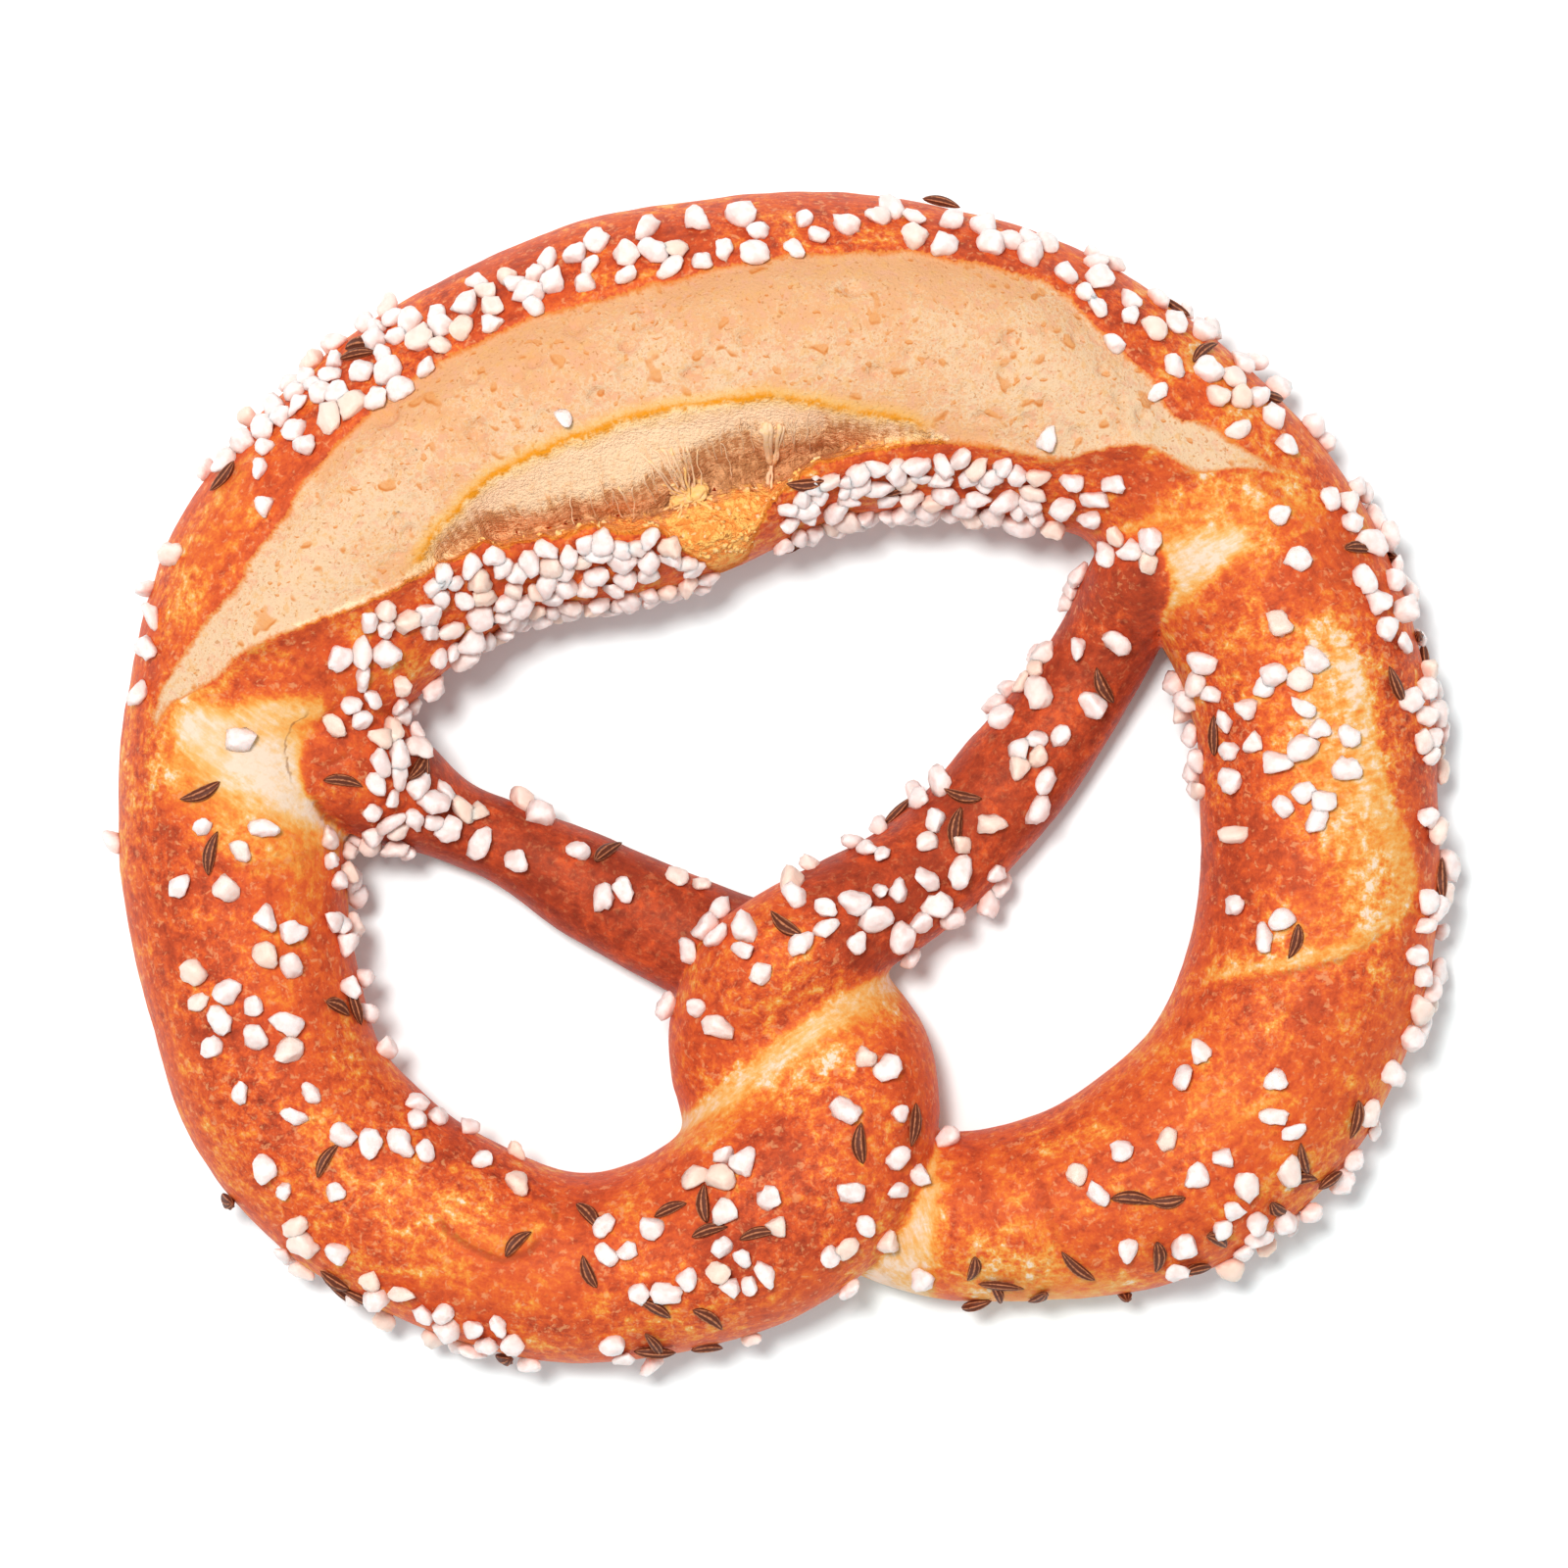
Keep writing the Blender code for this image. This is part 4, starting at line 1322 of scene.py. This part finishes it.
    # the torn wall: cream, then brown with painted shade in the hollow, then golden crumb up to the
    # lip
    lace = n.ease(n.blend((sponge, 1.0), (furrow, 0.8)), 0.02, 0.18)
    torn = n.over(crumb["wall"], crumb["wallTan"], lace, 0.65)
    # painted light: the wall is painted lighter just below the crest, where it faces away from the
    # light
    torn = n.over(torn, crumb["litWallTop"], n.less(n.ease(wall, 1.6, 4.0)), 0.85)
    # painted shade: the hollow is painted brown and dark, and its floor darker still
    hollow = n.ease(n.blend((furrow, 1.2), (clouds, 1.0), (sponge, 0.8)), -0.16, 0.12)
    floor = n.mix(hollow, crumb["floor"], crumb["floorShade"])
    hollow = n.mix(hollow, crumb["brownAndShade"], crumb["dark"])
    hollow = n.over(hollow, floor, n.ease(n.blend((n.value("brownAndShaded"), 1.0), (sponge, 1.5)),
                                          1.5, 3.4))
    brownAndShaded = n.blend((n.value("brownAndShaded"), 1.0), (furrow, 4.0), (clouds, 2.5), (sponge, 2.0))
    torn = n.over(torn, hollow, n.ease(brownAndShaded, -1.1, 0.7))
    bits = n.mix(n.ease(n.blend((sponge, 1.2), (flecks, 1.0)), -0.12, 0.12),
                 crumb["goldenBrown"], crumb["golden"])
    bits = n.over(bits, crumb["hole"], n.pits(stirred, 1.1, 0.30, 0.38), 0.75)
    bits = n.over(bits, crumb["hole"], n.ease(grit, 0.12, 0.24), 0.40)
    goldened = n.blend((n.value("golden"), 1.0), (clouds, 3.0), (sponge, 4.0))
    torn = n.over(torn, bits, n.ease(goldened, -0.7, 0.7))
    torn = n.over(torn, crumb["lip"], n.less(n.ease(cut, 0.1, 0.9)))
    crumbSkin = n.over(dome, torn, n.ease(wall, -0.1, 0.8))
    # the browned ridge between dome and wall, where the burst is torn open
    isTorn = n.ease(n.value("torn"), 0.02, 0.25)
    ridge = n.calc("ABSOLUTE", n.blend((n.value("wall"), 1.0), (clouds, 1.6), (flecks, 0.7)))
    ridge = n.blend((ridge, 1.0), (flecks, 1.4), (clouds, 1.2), (fine, 0.8))
    crumbSkin = n.over(crumbSkin, crumb["glow"], n.less(n.ease(ridge, 0.2, 2.1)), isTorn, 0.55)
    crumbSkin = n.over(crumbSkin, crumb["ridge"], n.less(n.ease(ridge, -0.1, 0.75)), isTorn,
                       n.ease(n.blend((broad, 1.0), (clouds, 1.0)), -0.24, -0.06))
    isOpen = n.ease(cut, -0.12, 0.12)
    colour = n.mix(isOpen, skin, crumbSkin)
    # painted light: the steep sides are painted lighter, a painted sheen
    colour = n.over(colour, n.scale(colour, crust["flank"]), n.value("flank"))

    n.skin.inputs["Specular IOR Level"].default_value = crust["shine"]
    n.skin.inputs["Specular Tint"].default_value = (*crust["shineTint"], 1.0)
    shine = n.calc("MULTIPLY_ADD", flecks, 0.25, crust["roughness"])
    crustHeight = n.blend((fine, 0.06), (flecks, 0.14), (streaks, 0.06))
    domeHeight = n.blend((fine, 0.16), (flecks, 0.26), (grit, 0.14))
    coarse = n.ease(n.value("brownAndShaded"), -1.5, 0.5)
    tornHeight = n.blend((furrow, 0.8), (n.times(sponge, coarse), 1.8), (sponge, 0.3), (fine, 0.4))
    openHeight = n.mixValue(n.ease(n.value("wall"), 0.0, 0.6), domeHeight, tornHeight)
    height = n.mixValue(n.ease(n.value("cut"), -0.3, 0.3), crustHeight, openHeight)
    return n.finish(colour, n.mixValue(isOpen, shine, 0.85), height, 0.7)


def saltMaterial():
    n = Nodes("salt")
    at = n.places()
    white = n.mix(n.ease(n.noise(at, 1.1, 2.0), -0.10, 0.14), salt["colour"], salt["shade"])
    white = n.over(white, salt["tinted"], n.ease(n.value("tint"), 0.35, 1.0))
    # painted reflection: the foot of each grain takes the crust's colour
    white = n.over(white, salt["foot"], n.value("foot"), 0.65)
    n.skin.inputs["Specular IOR Level"].default_value = salt["shine"]
    n.skin.inputs["Subsurface Weight"].default_value = salt["glow"]
    n.skin.inputs["Subsurface Radius"].default_value = salt["glowTint"]
    n.skin.inputs["Subsurface Scale"].default_value = salt["glowReach"] * mm
    return n.finish(white, n.calc("MULTIPLY_ADD", n.noise(at, 0.5), 0.3, salt["roughness"]),
                    n.blend((n.noise(at, 0.6, 2.0), 0.15), (n.noise(at, 0.2, 2.0), 0.05)), 0.5)


def seedMaterial():
    n = Nodes("caraway")
    at = n.places()
    rib = n.calc("ADD", n.value("rib"), n.noise(at, 0.4, 2.0))
    n.skin.inputs["Specular IOR Level"].default_value = seed["shine"]
    return n.finish(n.mix(n.ease(rib, 0.40, 0.95), seed["dark"], seed["pale"]),
                    n.calc("MULTIPLY_ADD", n.noise(at, 0.5), 0.3, seed["roughness"]),
                    n.blend((n.noise(at, 0.25, 2.0), 0.10)), 0.6)


def tearMaterial():
    n = Nodes("crumb")
    at = n.places()
    tone = n.calc("ADD", n.value("tone"), n.noise(at, 0.6, 2.0))
    colour = n.ramp(tone, [(0.10, crumb["wall"]), (0.45, crumb["tuft"]),
                           (0.85, crumb["golden"]), (1.0, crumb["lip"])])
    return n.finish(colour, n.calc("MULTIPLY_ADD", n.noise(at, 0.5), 0.2, 0.85),
                    n.blend((n.noise(at, 0.3, 2.0), 0.15)), 0.6)


for piece, material, slot in [(doughPiece, crustMaterial(), "crust"),
                              (saltPiece, saltMaterial(), "salt"),
                              (seedPiece, seedMaterial(), "caraway"),
                              (tearPiece, tearMaterial(), "crumb")]:
    piece.data.materials.clear()
    piece.data.materials.append(material)
    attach(piece, "root")
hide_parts("pretzel")

# Light, floor and camera.
studio = {
    "cameraHeight": 1.0,
    "frameWidth": 0.1923,
    "centre": (0.0006, -0.0007),
    "floorSize": 6.0,
    "floorColour": (0.87, 0.98, 0.995),
    "skyColour": (0.91, 1.0, 1.03),
    "skyStrength": 0.68,
    "keyColour": (1.075, 1.0, 0.975),
    "keyPower": 23.4,
    "keyPlace": (-0.24, 0.27, 1.64),
    "keySize": 0.30,
}


def makeStudio():
    size = studio["floorSize"] / 2
    corners = [(-size, -size, 0.0), (size, -size, 0.0), (size, size, 0.0), (-size, size, 0.0)]
    floor = newPiece("floor", newMesh("floor", corners, [(0, 1, 2, 3)]))
    sheet = Nodes("sheet")
    sheet.skin.inputs["Base Color"].default_value = (*studio["floorColour"], 1.0)
    sheet.skin.inputs["Roughness"].default_value = 0.9
    floor.data.materials.append(sheet.material)
    floor.location.z = -0.0002
    lens = bpy.data.cameras.new("camera")
    lens.sensor_width = 36.0
    lens.lens = lens.sensor_width * studio["cameraHeight"] / studio["frameWidth"]
    camera = newPiece("camera", lens)
    camera.location = (*studio["centre"], studio["cameraHeight"])
    bpy.context.scene.camera = camera
    key = bpy.data.lights.new("key", "AREA")
    key.energy = studio["keyPower"]
    key.color = studio["keyColour"]
    key.size = studio["keySize"]
    lamp = newPiece("key", key)
    lamp.location = studio["keyPlace"]
    lamp.rotation_euler = lamp.location.to_track_quat("Z", "Y").to_euler()
    sky = bpy.data.worlds.new("sky")
    sky.use_nodes = True
    glow = sky.node_tree.nodes["Background"].inputs
    glow["Color"].default_value = (*studio["skyColour"], 1.0)
    glow["Strength"].default_value = studio["skyStrength"]
    bpy.context.scene.world = sky
    bpy.context.scene.view_settings.view_transform = "Standard"


makeStudio()
